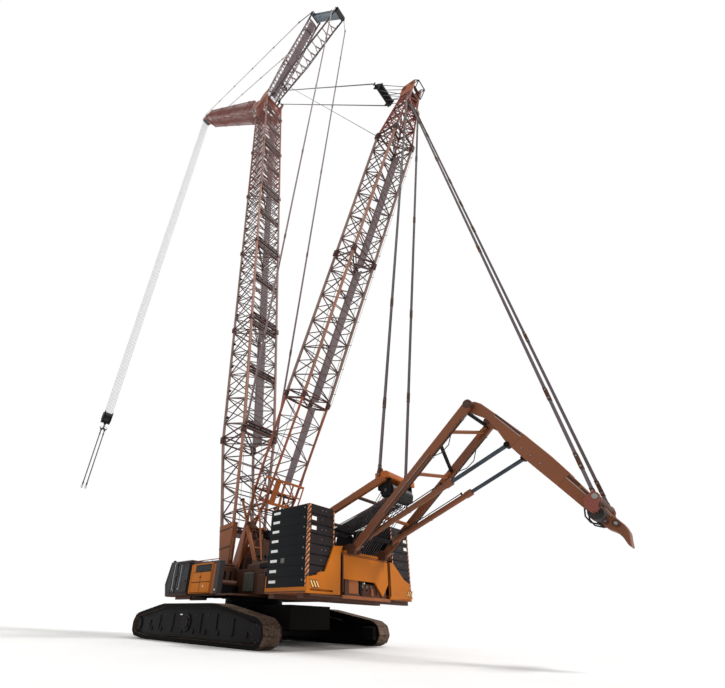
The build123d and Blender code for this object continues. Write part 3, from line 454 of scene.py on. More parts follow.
@dataclass(frozen=True)
class Tread(Finish):
    """Track shoes with dry mud on what touches the ground; their sideways faces are painted
    near-black, a painted shade.
    """

    # Near-black of the sideways faces: painted shade.
    colour: str = "#0a0807"
    mud: str = "#7d6757"
    groove: str = "#2a211c"

    def build(self, nodes: Nodes) -> dict:
        """The mud, and the painted shade that takes its place on the faces that look sideways.

        Args:
            nodes: The material's nodes.

        Returns:
            Values and sockets by the names of the shader's inputs.
        """
        place = nodes.place()
        normal = nodes.add("NewGeometry").outputs["True Normal"]
        sideways = nodes.maths("ABSOLUTE", nodes.axis(normal, "Y"))
        grit = nodes.noise(place, 120.0, 6.0, 0.75)
        patchy = nodes.maths("ADD", nodes.spread(grit, 0.36, 0.62, 0.0, 0.75),
                             nodes.spread(nodes.noise(place, 14.0, 3.0), 0.35, 0.65, -0.1, 0.3))
        mud = nodes.blend(patchy, linear(self.groove), linear(self.mud))
        # Faces that look sideways take the near-black instead of mud: painted shade.
        outer = nodes.spread(sideways, 0.35, 0.6, 1.0, 0.0)
        return {"Base Color": nodes.blend(outer, linear(self.colour), mud), "Roughness": 0.85,
                "Specular IOR Level": 0.12, "Normal": nodes.bump(0.5, 0.002, grit)}


@dataclass(frozen=True)
class Glass(Finish):
    """Tinted pane with a film of dust."""

    colour: str = "#1c2428"

    def build(self, nodes: Nodes) -> dict:
        """The tint and the dust on it.

        Args:
            nodes: The material's nodes.

        Returns:
            Values and sockets by the names of the shader's inputs.
        """
        dust = self.effect(nodes, Effect.DUST, amount=0.12, scale=14.0)["Mask"]
        return {"Base Color": nodes.blend(dust, linear(self.colour), linear("#77706a")),
                "Roughness": nodes.spread(dust, 0.0, 1.0, 0.04, 0.6),
                "Alpha": nodes.spread(dust, 0.0, 1.0, 0.72, 0.95),
                "IOR": 1.45, "Specular IOR Level": 0.2}


@dataclass(frozen=True)
class Stripes(Finish):
    """Warning stripes that slant up towards the front, on a dark ground."""

    colour: str = "#d8854a"
    ground_colour: str = "#2a2226"
    pitch: float = 0.022

    def build(self, nodes: Nodes) -> dict:
        """The stripes and their wear.

        Args:
            nodes: The material's nodes.

        Returns:
            Values and sockets by the names of the shader's inputs.
        """
        place = nodes.place()
        across = nodes.maths("ADD", nodes.axis(place, "X"), nodes.axis(place, "Y"))
        run = nodes.maths("ADD", across, nodes.axis(place, "Z"))
        share = nodes.maths("FRACT", nodes.maths("DIVIDE", run, self.pitch))
        shade = self.effect(nodes, Effect.FADE, scale=20.0)["Shade"]
        worn = nodes.maths("MULTIPLY", nodes.maths("GREATER_THAN", share, 0.5),
                           nodes.spread(shade, 0, 0.3, 0.4, 1))
        return {"Base Color": nodes.blend(worn, linear(self.ground_colour), linear(self.colour)),
                "Roughness": nodes.spread(shade, 0.0, 1.0, 0.4, 0.6)}


@dataclass(frozen=True)
class Floor(Finish):
    """Pale ground with faint clouds."""

    colour: str = "#f4f3f1"
    cloud: str = "#fbfaf9"

    def build(self, nodes: Nodes) -> dict:
        """The clouds' colour.

        Args:
            nodes: The material's nodes.

        Returns:
            Values and sockets by the names of the shader's inputs.
        """
        cloud = nodes.spread(nodes.noise(nodes.place(), 1.5, 5.0), 0.3, 0.7)
        return {"Base Color": nodes.blend(cloud, linear(self.colour), linear(self.cloud)),
                "Roughness": 0.9}


LATTICE = Paint("lattice tube", "#4a312c", dust_colour="#9c8579")
CHORD = Paint("lattice chord", "#80655c", dust=0.35, dust_colour="#a8907f")
# Lighter copy of the chord paint for the rear left chords: painted light, not a paint of its own.
CHORD_LIT = Paint("lit lattice chord", "#94644f", dust_colour="#a8907f")
FRAME_BAR = Paint("joint frame", "#45231d", dust=0.1, gloss=0.25)
UPPER_CHORD = Paint("upper lattice chord", "#8a5a50", dust=0.2, gloss=0.3)
UPPER_TUBE = Paint("upper lattice tube", "#63372f", dust=0.15, gloss=0.3)
RED_BROWN = Paint("red brown paint", "#7a3426", dust=0.2)
ORANGE_BROWN = Paint("orange brown paint", "#8c4526", dust=0.25, wear=0.3)
JIB_CHORD = Paint("jib chord", "#835549", dust=0.15, gloss=0.3)
JIB_TUBE = Paint("jib tube", "#76453e", dust=0.12, gloss=0.2)
WALKWAY = Paint("walkway grating", "#857679", 0.6, 0.2, "#a59a96")
STRUT_PAINT = Paint("strut steel", "#3b2c31", dust=0.2)
LILAC = Paint("strut tube", "#7d686c", 0.55, dust=0.25)
ORANGE = Paint("orange paint", "#b5640a", 0.5, 0.2, "#8a5a10", wear=0.5, gloss=0.22)
GUARD = Paint("guard paint", "#a8581f", dust=0.15, wear=0.3, gloss=0.3)
BROWN = Paint("brown paint", "#8a4c22", 0.5, 0.2, "#8c7058", wear=0.35, gloss=0.3)
BROWN_DARK = Paint("dark brown paint", "#482819", 0.55, dust=0.15, wear=0.3, gloss=0.25)
BLACK = Paint("black paint", "#080607", 0.55, 0.08, "#3a302a", wear=0.2, gloss=0.12)
CARBODY = Paint("carbody paint", "#090706", 0.6, 0.12, "#33291f", wear=0.2, gloss=0.1)
SLATE = Paint("slate paint", "#06090d", 0.5, 0.05, "#2a2e33", wear=0.25, gloss=0.12)
SLATE_REAR = Paint("slate rear", "#1f1718", 0.55, 0.08, "#3a302d", wear=0.2, gloss=0.2)
SHOE = Tread("track shoe")
LINK = Paint("track link", "#0e0c0b", 0.6, 0.1, "#3a302a", wear=0.15, gloss=0.2)
SUPERLIFT_PAINT = Paint("superlift paint", "#754327", 0.5, 0.2, "#7d6250", wear=0.3, gloss=0.35)
TANK = Paint("tank paint", "#4a4c44", 0.55, dust=0.2, wear=0.3, gloss=0.3)
GREY_DARK = Paint("dark grey paint", "#2c2827", 0.55, dust=0.15, wear=0.2, gloss=0.3)
GREY_LIGHT = Paint("light grey rail", "#a9a6a3", dust=0.1, wear=0.1)
WHITE_WARM = Paint("cream mark", "#e8bd7c", dust=0.1, wear=0.2)
BOLT_DARK = Paint("painted bolt", "#262122", dust=0.1, wear=0.6, worn_colour="#6f6a66")
SHEAVE = Paint("sheave black", "#1b1a1c", 0.45, dust=0.15, wear=0.6, worn_colour="#6d6a68")
PENDANT = Paint("pendant steel", "#554b4f", dust=0.2, wear=0.3)
WHITE = Paint("white paint", "#f4f4f0", dust=0.04, wear=0.1)
RUBBER = Paint("rubber", "#161617", 0.7, dust=0.1)
TRIM = Paint("cab trim", "#2b2b2e", 0.6, dust=0.05)
CAB_DARK = Paint("cab shell paint", "#141010", 0.45, dust=0.08, wear=0.3, gloss=0.25)
GREY = Paint("grey paint", "#5a5a58", dust=0.2, wear=0.3)
CHROME = Metal("piston rod", "#454b52", 0.25)
BOLT = Metal("zinc plated", "#8e8d88", 0.4, 0.8)
LAMP = Metal("lamp lens", "#e9e6da", 0.1, 0.2)
ROPE = WireRope("wire rope", "#a2a4a8")
STRUT_ROPE = WireRope("strut rope", "#8798a4")
DARK_ROPE = WireRope("dark wire rope", "#4d484a")
SLING = WireRope("sling", "#6b6665")
PANE = Glass("tinted glass")
HAZARD = Stripes("warning stripes")


# ------------------------------------------------------------------------------- mesh making
def row(first: float, step: float, count: int) -> list[float]:
    """Values a step apart."""
    return [first + number * step for number in range(count)]


def ring(count: int) -> list[float]:
    """Angles spread evenly round a circle."""
    return row(0.0, tau / count, count)


def flipped(place: Point, sign: int) -> Vector:
    """A place on the left, or the same place on the right for a sign of -1."""
    return Vector(place) * Vector((1, sign, 1))


class Shape:
    """A mesh in the making. What is added takes the finish and the sides chosen last."""

    def __init__(self, finish: Finish) -> None:
        """Starts an empty mesh with a finish, whose parts are made as they are given.

        Args:
            finish: Finish of its first faces.
        """
        self.mesh = bmesh.new()
        self.finishes: list[Finish] = []
        self.use(finish).on()

    def use(self, finish: Finish) -> "Shape":
        """Chooses the finish of what follows.

        Args:
            finish: The finish.

        Returns:
            The shape itself.
        """
        if finish not in self.finishes:
            self.finishes.append(finish)
        self.current = self.finishes.index(finish)
        return self

    def on(self, side: Side = Side.LEFT) -> "Shape":
        """Chooses the sides on which bars, boxes and plates are made from here on."""
        self.signs = side.value
        return self

    def _mark(self, vertices: Iterable[bmesh.types.BMVert]) -> None:
        """Gives the faces of new vertices the current finish.

        Args:
            vertices: The new vertices.
        """
        for vertex in vertices:
            for face in vertex.link_faces:
                face.material_index = self.current

    def _bevel(self, vertices: Iterable[bmesh.types.BMVert], width: float) -> None:
        """Bevels the edges of new vertices and gives all their faces the current finish.

        Args:
            vertices: The new vertices.
            width: Width of the bevel, or zero for none.
        """
        if width:
            edges = list({edge for vertex in vertices for edge in vertex.link_edges})
            vertices = bmesh.ops.bevel(self.mesh, geom=edges, offset=width, affect="EDGES",
                                       segments=1, profile=0.5, material=-1)["verts"]
        self._mark(vertices)

    def _block(self, low: Vector, high: Vector, bevel: float, frame_at: Matrix) -> None:
        """Adds a box between two corners of a frame.

        Args:
            low: Its lowest corner.
            high: Its highest corner.
            bevel: Width of the bevel on its edges.
            frame_at: The frame's matrix.
        """
        size = Matrix.Diagonal((*(high - low), 1))
        place = frame_at @ Matrix.Translation((low + high) / 2) @ size
        self._bevel(bmesh.ops.create_cube(self.mesh, size=1.0, matrix=place)["verts"], bevel)

    def box(self, low: Point, high: Point, bevel: float = 0.0) -> "Shape":
        """Adds a box between its lowest and its highest corner.

        Args:
            low: Its lowest corner.
            high: Its highest corner.
            bevel: Width of the bevel on its edges.

        Returns:
            The shape itself.
        """
        for sign in self.signs:
            first, last = Vector(low), Vector(high)
            first.y, last.y = sorted((sign * low[1], sign * high[1]))
            self._block(first, last, bevel, Matrix())
        return self

    def beam(self, start: Point, end: Point, width: float, depth: float, bevel: float = 0.0,
             side: Point = (0, 1, 0)) -> "Shape":
        """Adds a box bar between two points.

        Args:
            start: Middle of its first end.
            end: Middle of its other end.
            width: Its size along side.
            depth: Its size across side.
            bevel: Width of the bevel on its edges.
            side: Direction of its width.

        Returns:
            The shape itself.
        """
        for sign in self.signs:
            first = flipped(start, sign)
            run = flipped(end, sign) - first
            along = run.normalized()
            sideways = (Vector(side) - along * Vector(side).dot(along)).normalized()
            columns = Matrix((along.cross(sideways) * -1, sideways, along)).transposed()
            half = Vector((depth / 2, width / 2, 0))
            self._block(-half, Vector((half.x, half.y, run.length)), bevel,
                        Matrix.Translation(first) @ columns.to_4x4())
        return self

    def tube(self, start: Point, end: Point, radius: float, sides: int = 8,
             end_radius: Optional[float] = None) -> "Shape":
        """Adds a round bar between two points, tapered where an end radius is given.

        Args:
            start: Middle of its first end.
            end: Middle of its other end.
            radius: Its radius.
            sides: Number of its sides.
            end_radius: Radius at its other end, where it differs.

        Returns:
            The shape itself.
        """
        last = radius if end_radius is None else end_radius
        for sign in self.signs:
            first = flipped(start, sign)
            run = flipped(end, sign) - first
            turn = run.to_track_quat("Z", "Y").to_matrix().to_4x4()
            matrix = Matrix.Translation(first + run / 2) @ turn
            made = bmesh.ops.create_cone(self.mesh, cap_ends=True, segments=sides, radius1=radius,
                                         radius2=last, depth=run.length, matrix=matrix)
            self._mark(made["verts"])
        return self

    def across(self, x: float, z: float, radius: float, y: Point, sides: int = 16) -> "Shape":
        """Adds a round bar along Y between two values of y."""
        return self.tube((x, y[0], z), (x, y[1], z), radius, sides)

    def hose(self, spots: Sequence[Point], radius: float, sides: int = 6) -> "Shape":
        """Adds round bars from each place to the next.

        Args:
            spots: The places.
            radius: Radius of the bars.
            sides: Number of their sides.

        Returns:
            The shape itself.
        """
        for start, end in zip(spots, spots[1:]):
            self.tube(start, end, radius, sides)
        return self

    def _plate(self, outline: Sequence[Point], thickness: float, bevel: float,
               matrix: Matrix) -> None:
        """Adds a plate.

        Args:
            outline: Its (x, y) corners in the matrix's frame.
            thickness: How far it goes along Z from there.
            bevel: Width of the bevel on its edges.
            matrix: Its frame.
        """
        corners = [self.mesh.verts.new((x, y, 0)) for x, y in outline]
        face = self.mesh.faces.new(corners)
        lifted = bmesh.ops.extrude_face_region(self.mesh, geom=[face], use_keep_orig=True)["geom"]
        top = [item for item in lifted if isinstance(item, bmesh.types.BMVert)]
        bmesh.ops.translate(self.mesh, vec=(0, 0, thickness), verts=top)
        made = corners + top
        faces = list({item for vertex in made for item in vertex.link_faces})
        bmesh.ops.recalc_face_normals(self.mesh, faces=faces)
        bmesh.ops.transform(self.mesh, matrix=matrix, verts=made)
        self._bevel(made, bevel)

    def profile(self, outline: Sequence[Point], y: Point, bevel: float = 0.0) -> "Shape":
        """Adds a plate across Y, from its (x, z) corners and its two values of y.

        Args:
            outline: Its (x, z) corners.
            y: Its two values of y.
            bevel: Width of the bevel on its edges.

        Returns:
            The shape itself.
        """
        lying = Matrix(((1, 0, 0, 0), (0, 0, -1, 0), (0, 1, 0, 0), (0, 0, 0, 1)))
        for sign in self.signs:
            low, high = sorted((sign * y[0], sign * y[1]))
            self._plate(outline, high - low, bevel, Matrix.Translation((0, high, 0)) @ lying)
        return self

    def wall(self, outline: Sequence[Point], x: Point, bevel: float = 0.0) -> "Shape":
        """Adds a plate across X, from its (y, z) corners and its two values of x.

        Args:
            outline: Its (y, z) corners.
            x: Its two values of x.
            bevel: Width of the bevel on its edges.

        Returns:
            The shape itself.
        """
        low, high = sorted(x)
        standing = Matrix(((0, 0, 1, 0), (1, 0, 0, 0), (0, 1, 0, 0), (0, 0, 0, 1)))
        for sign in self.signs:
            self._plate([(sign * y, z) for y, z in outline], high - low, bevel,
                        Matrix.Translation((low, 0, 0)) @ standing)
        return self

    def turned(self, outline: Sequence[Point], centre: Point, steps: int = 24) -> "Shape":
        """Adds a part turned about an axis along Y.

        Args:
            outline: Closed outline of (radius, height) points on one side of the axis.
            centre: Middle of its heights.
            steps: Number of steps round it.

        Returns:
            The shape itself.
        """
        part = Shape(self.finishes[self.current])
        corners = [part.mesh.verts.new((radius, 0, height)) for radius, height in outline]
        edges = [part.mesh.edges.new(pair) for pair in zip(corners, corners[1:] + corners[:1])]
        bmesh.ops.spin(part.mesh, geom=corners + edges, cent=(0, 0, 0), axis=(0, 0, 1),
                       angle=tau, steps=steps, use_merge=True)
        bmesh.ops.recalc_face_normals(part.mesh, faces=list(part.mesh.faces))
        turn = Matrix.Rotation(radians(90), 4, "X")
        return self.add(part, Matrix.Translation(centre) @ turn)

    def sheave(self, centre: Point, radius: float, width: float, steps: int = 28) -> "Shape":
        """Adds a rope sheave across Y: grooved rim, thinner web and hub.

        Args:
            centre: Its middle.
            radius: Its outer radius.
            width: Its width at the rim.
            steps: Number of steps round it.

        Returns:
            The shape itself.
        """
        half = width / 2
        groove = min(radius * 0.12, half * 0.9)
        rim = [(0.15 * radius, half), (0.3 * radius, half), (0.34 * radius, half * 0.4),
               (0.8 * radius, half * 0.4), (0.84 * radius, half), (radius, half)]
        outline = [(x, -y) for x, y in rim] + [(radius - groove, 0.0)] + rim[::-1]
        return self.use(SHEAVE).turned(outline, centre, steps)

    def add(self, other: "Shape", matrix: Matrix) -> "Shape":
        """Adds a copy of another shape, placed by a matrix.

        Args:
            other: The shape to copy.
            matrix: Where the copy goes.

        Returns:
            The shape itself.
        """
        copy = bpy.data.meshes.new("copy")
        other.mesh.to_mesh(copy)
        copy.transform(matrix)
        chosen = self.current
        places = []
        for finish in other.finishes:
            self.use(finish)
            places.append(self.current)
        self.current = chosen
        for face in copy.polygons:
            face.material_index = places[face.material_index]
        self.mesh.from_mesh(copy)
        bpy.data.meshes.remove(copy)
        return self

    def placed(self, matrix: Matrix) -> "Shape":
        """A copy of the shape, placed by a matrix."""
        return Shape(self.finishes[0]).add(self, matrix)


def piece(name: str, shape: Shape, body: str, node: str = "",
          blend: Optional[tuple[str, Point, Point]] = None) -> None:
    """Finishes a shape as a piece of the model.

    Args:
        name: The piece's name.
        shape: Its mesh.
        body: The CAD body that it rides on; with a blend, it is only logged.
        node: The CAD node that it stands for.
        blend: The second body of a rope between two, with two points; when it is given, the piece
            stays in place on no body, and its values are not used.
    """
    for edge in shape.mesh.edges:
        edge.smooth = edge.calc_face_angle(0.0) < SHARP
    for face in shape.mesh.faces:
        face.smooth = True
    data = bpy.data.meshes.new(name)
    shape.mesh.to_mesh(data)
    shape.mesh.free()
    for finish in shape.finishes:
        data.materials.append(finish.material())
    made = bpy.data.objects.new(name, data)
    bpy.context.scene.collection.objects.link(made)
    if blend:
        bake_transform(made)
    else:
        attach(made, body)
    if node:
        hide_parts(node)
    log.info("%s: %d faces on %s", name, len(data.polygons), body)


def dress(finish: Finish, *names: str) -> None:
    """Gives CAD nodes a finish, by their names.

    Args:
        finish: The finish.
        names: The nodes' names.
    """
    for name in names:
        node = frame["nodes"][name]
        if not node.material_slots:
            node.data.materials.append(finish.material())
        for slot in node.material_slots:
            slot.material = finish.material()
        log.info("%s: %s", name, finish.name)


# ------------------------------------------------------------------------------- lattice masts
Corner = tuple[int, int]
Stations = Sequence[Point]
CORNERS: tuple[Corner, ...] = ((1, 1), (1, -1), (-1, -1), (-1, 1))
FACES = tuple(zip(CORNERS, CORNERS[1:] + CORNERS[:1]))


@dataclass(frozen=True)
class Lattice:
    """Four chords joined by zigzag tubes on every face, along Z, with X its depth.

    Its stations say how big it is: a place along it, its half depth and its half width there.
    """

    chord: float
    lace: float
    heavy: float
    chord_finish: Finish = CHORD
    lace_finish: Finish = LATTICE
    # A lighter copy of the chord finish, for the rear left chord only: painted light.
    rear_left_lit_finish: Optional[Finish] = None

    def corner(self, stations: Stations, s: float, corner: Corner) -> Vector:
        """Middle of a chord at s, by its signs of x and y, in the mast's frame.

        Args:
            stations: The lattice's sizes along it.
            s: Place along it.
            corner: Signs of x and y.

        Returns:
            The point in the mast's frame.
        """
        after = next((station for station in stations if station[0] >= s), stations[-1])
        before = stations[max(0, stations.index(after) - 1)]
        share = 0.0 if after is before else (s - before[0]) / (after[0] - before[0])
        depth, width = (low + (high - low) * share for low, high in zip(before[1:], after[1:]))
        return Vector((corner[0] * depth, corner[1] * width, s))

    def chords(self, shape: Shape, stations: Stations) -> None:
        """Adds the four chords, the rear left one in the lighter painted-light finish where one is
        given.

        Args:
            shape: The shape that they join.
            stations: The lattice's sizes along it.
        """
        for low, high in zip(stations, stations[1:]):
            for corner in CORNERS:
                # The rear left chord takes the lighter copy of the paint, as painted light.
                lit = corner == (-1, 1) and self.rear_left_lit_finish
                shape.use(lit or self.chord_finish)
                shape.tube(self.corner(stations, low[0], corner),
                           self.corner(stations, high[0], corner), self.chord)

    def laces(self, shape: Shape, stations: Stations, run: Point, bays: int,
              faces: Sequence[int] = range(4)) -> None:
        """Adds the zigzag tubes and the rungs of each face.

        Args:
            shape: The shape that they join.
            stations: The lattice's sizes along it.
            run: Where they begin and end.
            bays: Number of slanted tubes on each face.
            faces: The faces that have them.
        """
        shape.use(self.lace_finish)
        step = (run[1] - run[0]) / bays
        for number in faces:
            pair = FACES[number]
            for bay in range(bays):
                first, second = pair if (bay + number // 2) % 2 else pair[::-1]
                low, high = run[0] + bay * step, run[0] + (bay + 1) * step
                end = self.corner(stations, high, second)
                shape.tube(self.corner(stations, low, first), end, self.lace, 6)
                shape.tube(self.corner(stations, high, first), end, self.lace * 0.82, 6)

    def frame(self, shape: Shape, stations: Stations, s: float, crossed: bool = True) -> None:
        """Adds heavy bars round the lattice at one place, and a cross inside.

        Args:
            shape: The shape that it joins.
            stations: The lattice's sizes along it.
            s: Place of the frame.
            crossed: Whether it has a cross inside.
        """
        shape.use(FRAME_BAR)
        spots = [self.corner(stations, s, corner) for corner in CORNERS]
        for number, spot in enumerate(spots):
            shape.beam(spot, spots[(number + 1) % 4], self.heavy, self.heavy, side=(0, 0, 1))
        if crossed:
            shape.tube(spots[0], spots[2], self.lace, 6)
            shape.tube(spots[1], spots[3], self.lace, 6)

    def forks(self, shape: Shape, stations: Stations) -> None:
        """Adds the lugs and pins at its end, by which a section joins the next one.

        Args:
            shape: The shape that they join.
            stations: The lattice's sizes along it.
        """
        size = self.chord * 1.5
        for corner in CORNERS:
            middle = self.corner(stations, stations[-1][0], corner)
            half, pin = Vector((size, size, size * 1.6)), Vector((0, size * 1.4, 0))
            shape.use(FRAME_BAR).box(middle - half, middle + half, self.chord * 0.3)
            shape.use(BOLT).tube(middle - pin, middle + pin, self.chord * 0.6)

    def build(self, stations: Stations, run: Point, bays: int, frames: Sequence[float] = (),
              forked: bool = True) -> Shape:
        """A stretch of lattice.

        Args:
            stations: Its sizes along it.
            run: Where its zigzag tubes begin and end.
            bays: Number of slanted tubes on each face.
            frames: Places of its crossed frames.
            forked: Whether the next section joins it.

        Returns:
            The shape in the mast's frame.
        """
        shape = Shape(self.chord_finish)
        self.chords(shape, stations)
        self.laces(shape, stations, run, bays)
        for s in frames:
            self.frame(shape, stations, s)
        if forked:
            self.forks(shape, stations)
        return shape


BOOM_LATTICE = Lattice(0.0120, 0.0052, 0.0085, rear_left_lit_finish=CHORD_LIT)
UPPER_LATTICE = Lattice(0.0120, 0.0056, 0.0085, UPPER_CHORD, UPPER_TUBE)
BOOM_HEAD_LATTICE = Lattice(0.0120, 0.0062, 0.0095, ORANGE_BROWN, RED_BROWN)
DERRICK_LATTICE = Lattice(0.0112, 0.0048, 0.0072, rear_left_lit_finish=CHORD_LIT)
DERRICK_FOOT_LATTICE = Lattice(0.009, 0.0038, 0.0115, ORANGE_BROWN)
DERRICK_HEAD_LATTICE = Lattice(0.008, 0.0042, 0.0115, RED_BROWN, RED_BROWN)
JIB_LATTICE = Lattice(0.0085, 0.0044, 0.0080, JIB_CHORD, JIB_TUBE)
STRUT_LATTICE = Lattice(0.0068, 0.0036, 0.008, LILAC, LILAC)
REAR_STRUT_LATTICE = Lattice(0.0066, 0.0034, 0.0085, STRUT_PAINT, STRUT_PAINT)


def leg_outline(radius: float, half: float, top: float) -> list[Point]:
    """Outline of a plate leg: round at the pin, straight to its top corners.

    Args:
        radius: Radius of its round end, about the pin.
        half: Half its width at its top.
        top: Height of its top above the pin.

    Returns:
        Its (x, z) corners.
    """
    corners = [(radius * cos(turn), radius * sin(turn))
               for turn in (radians(angle) for angle in row(-8, -23.4, 8))]
    return corners + [(-half, top), (half, top)]


def symmetric(half: Sequence[Point]) -> list[Point]:
    """Closed outline from the half of it on the side of positive x."""
    return list(half) + [(-x, z) for x, z in reversed(half)]


@dataclass(frozen=True)
class SteppedMast:
    """A mast of like sections between a foot and a head, with half depth and half width."""

    foot: float
    sections: int
    depth: float
    width: float
    bays: int
    section: float = 1.2

    @property
    def start(self) -> float:
        """Where the head begins."""
        return self.foot + self.sections * self.section

    def station(self, s: float) -> Point:
        """The mast's full size at one place."""
        return s, self.depth, self.width

    def section_shape(self, kind: Lattice, bays: int) -> Shape:
        """Standard section of some tubes, from its lower joint."""
        ends = (self.station(0), self.station(self.section))
        return kind.build(ends, (0.035, self.section - 0.035), bays, (0.03, self.section - 0.03))

    def build_sections(self, name: str, mast: Mast, body: str,
                       templates: Sequence[Shape]) -> None:
        """Makes the sections, one above the other.

        Args:
            name: How the names of their pieces and nodes begin.
            mast: The mast that they are part of.
            body: The body that they ride on.
            templates: The shape of each section.
        """
        for number, template in enumerate(templates):
            place = mast.matrix(self.foot + number * self.section)
            piece(f"{name}_tubes_{number + 1}", template.placed(place), body,
                  f"{name}_section_{number + 1}")

    def walkway(self, shape: Shape) -> None:
        """Adds the grating, with its side and cross bars, inside a section's right face.

        Args:
            shape: The section.
        """
        y, near, far = self.width - 0.012, self.depth * 0.12, self.depth - 0.012
        shape.use(WALKWAY).on(Side.RIGHT)
        shape.box((near, y - 0.001, 0.02), (far, y + 0.001, self.section - 0.02))
        for x in (near, far):
            shape.box((x - 0.002, y - 0.004, 0.02), (x + 0.002, y + 0.004, self.section - 0.02))
        steps = int(self.section / 0.05)
        step = (self.section - 0.04) / steps
        for s in row(0.02 + step / 2, step, steps):
            shape.box((near, y - 0.0025, s - 0.0012), (far, y + 0.0025, s + 0.0012))
        shape.on()


@dataclass(frozen=True)
class MainBoom(SteppedMast):
    """Main boom: plate legs and tapered foot, five sections, and the head with its pivots."""

    foot: float = 1.095
    sections: int = 5
    depth: float = 0.133
    width: float = 0.153
    bays: int = 9
    pivot: float = 7.703
    stay: float = 7.650
    strut: float = 7.640

    def build(self) -> None:
        """Makes the boom's pieces."""
        self.build_foot()
        templates = []
        for kind, bays in ((BOOM_LATTICE, self.bays), (UPPER_LATTICE, self.bays + 2)):
            template = self.section_shape(kind, bays)
            for s in (0.05, self.section / 2, self.section - 0.05):
                self.add_rope_carrier(template, s)
            self.walkway(template)
            self.add_lugs(template)
            templates.append(template)
        lower, upper = templates
        self.build_sections("boom", BOOM, "boom", [lower] * 3 + [upper] * (self.sections - 3))
        self.build_head()

    def add_rope_carrier(self, shape: Shape, s: float) -> None:
        """Adds two heavy bars across the rear face with the rope rollers between them.

        Args:
            shape: The section.
            s: Place of the carrier.
        """
        left = Vector((-self.depth, self.width, s))
        right = flipped(left, -1)
        shape.use(FRAME_BAR)
        for offset in (-0.026, 0.026):
            shift = Vector((0.004, 0, offset))
            shape.beam(left + shift, right + shift, 0.013, 0.024, 0.001, side=(0, 0, 1))
        shift = Vector((0.016, 0, 0))
        shape.use(RED_BROWN).beam(left + shift, right + shift, 0.03, 0.003, side=(0, 0, 1))
        for share in (-0.55, -0.2, 0.2, 0.55):
            y = share * left.y
            shape.use(SHEAVE).across(left.x, s, 0.011, (y - 0.02, y + 0.02), 10)

    def add_lugs(self, shape: Shape) -> None:
        """Adds the small line posts inside the left front and rear chords.

        Args:
            shape: The section.
        """
        shape.use(BLACK)
        x, y = self.depth, self.width
        for s in row(0.2, 0.27, 4):
            shape.box((x - 0.03, y - 0.012, s), (x - 0.012, y + 0.004, s + 0.014))
            shape.box((-x + 0.002, y - 0.02, s + 0.13), (-x + 0.016, y - 0.006, s + 0.15))

    def build_foot(self) -> None:
        """Makes the foot: lattice above two broad plate legs on the boom's pins."""
        shape = BOOM_LATTICE.build(((0.16, 0.046, 0.128), self.station(self.foot)),
                                   (0.36, self.foot - 0.035), 6, (self.foot - 0.03, 0.37))
        shape.use(BROWN).on(Side.BOTH).profile(leg_outline(0.033, 0.082, 0.40), (0.106, 0.144), 0.002)
        shape.use(BROWN_DARK).across(0, 0, 0.022, (0.102, 0.148), 20)
        for s in (0.12, 0.24, 0.36):
            reach = 0.033 + s * 0.11
            shape.box((-reach, 0.103, s), (reach, 0.147, s + 0.008))
        shape.on().box((-0.05, -0.128, 0.335), (0.05, 0.128, 0.36), 0.002)
        piece("boom_foot_tubes", shape.placed(BOOM.matrix()), "boom", "boom_foot")

    def build_head(self) -> None:
        """Makes the head: short lattice, plates for the jib's pin, axle with guide sheaves."""
        pivot, stay, base = (s - self.start for s in (self.pivot, self.stay, self.strut))
        shape = BOOM_HEAD_LATTICE.build((self.station(0), self.station(0.44)), (0.02, 0.42), 5,
                                        (0.42,), forked=False)
        outline = ((-0.142, 0.4), (0.142, 0.4), (0.188, pivot - 0.06), (0.188, pivot + 0.024),
                   (0.17, pivot + 0.044), (0.12, pivot + 0.044), (0.06, 0.56), (-0.04, 0.62),
                   (-0.19, stay + 0.03), (-0.19, stay - 0.024), (-0.142, 0.47))
        shape.use(ORANGE_BROWN).on(Side.BOTH).profile(outline, (0.150, 0.166), 0.002)
        for x, s, radius in ((0.15, pivot, 0.026), (-0.165, stay, 0.016), (-0.02, 0.5, 0.02)):
            shape.use(BROWN_DARK).across(x, s, radius, (0.148, 0.170), 20)
            shape.use(BOLT).across(x, s, radius * 0.55, (0.166, 0.1715), 12)
        shape.use(BROWN_DARK).across(-0.165, stay, 0.008, (0.115, 0.150), 14)
        shape.box((-0.19, 0.082, base - 0.06), (-0.08, 0.092, base + 0.025), 0.002)
        shape.on().box((-0.11, -0.15, base - 0.06), (-0.08, 0.15, base - 0.03), 0.002)
        shape.box((0.10, -0.15, 0.42), (0.13, 0.15, 0.45), 0.002)
        shape.across(0.15, pivot, 0.013, (-0.15, 0.15), 20)
        shape.across(-0.02, 0.5, 0.012, (-0.15, 0.15))
        for y in (-0.05, -0.025, 0.0, 0.025, 0.05):
            shape.sheave((-0.02, y, 0.5), 0.034, 0.018)
        piece("boom_head_plates", shape.placed(BOOM.matrix(self.start)), "boom",
              "boom_head")


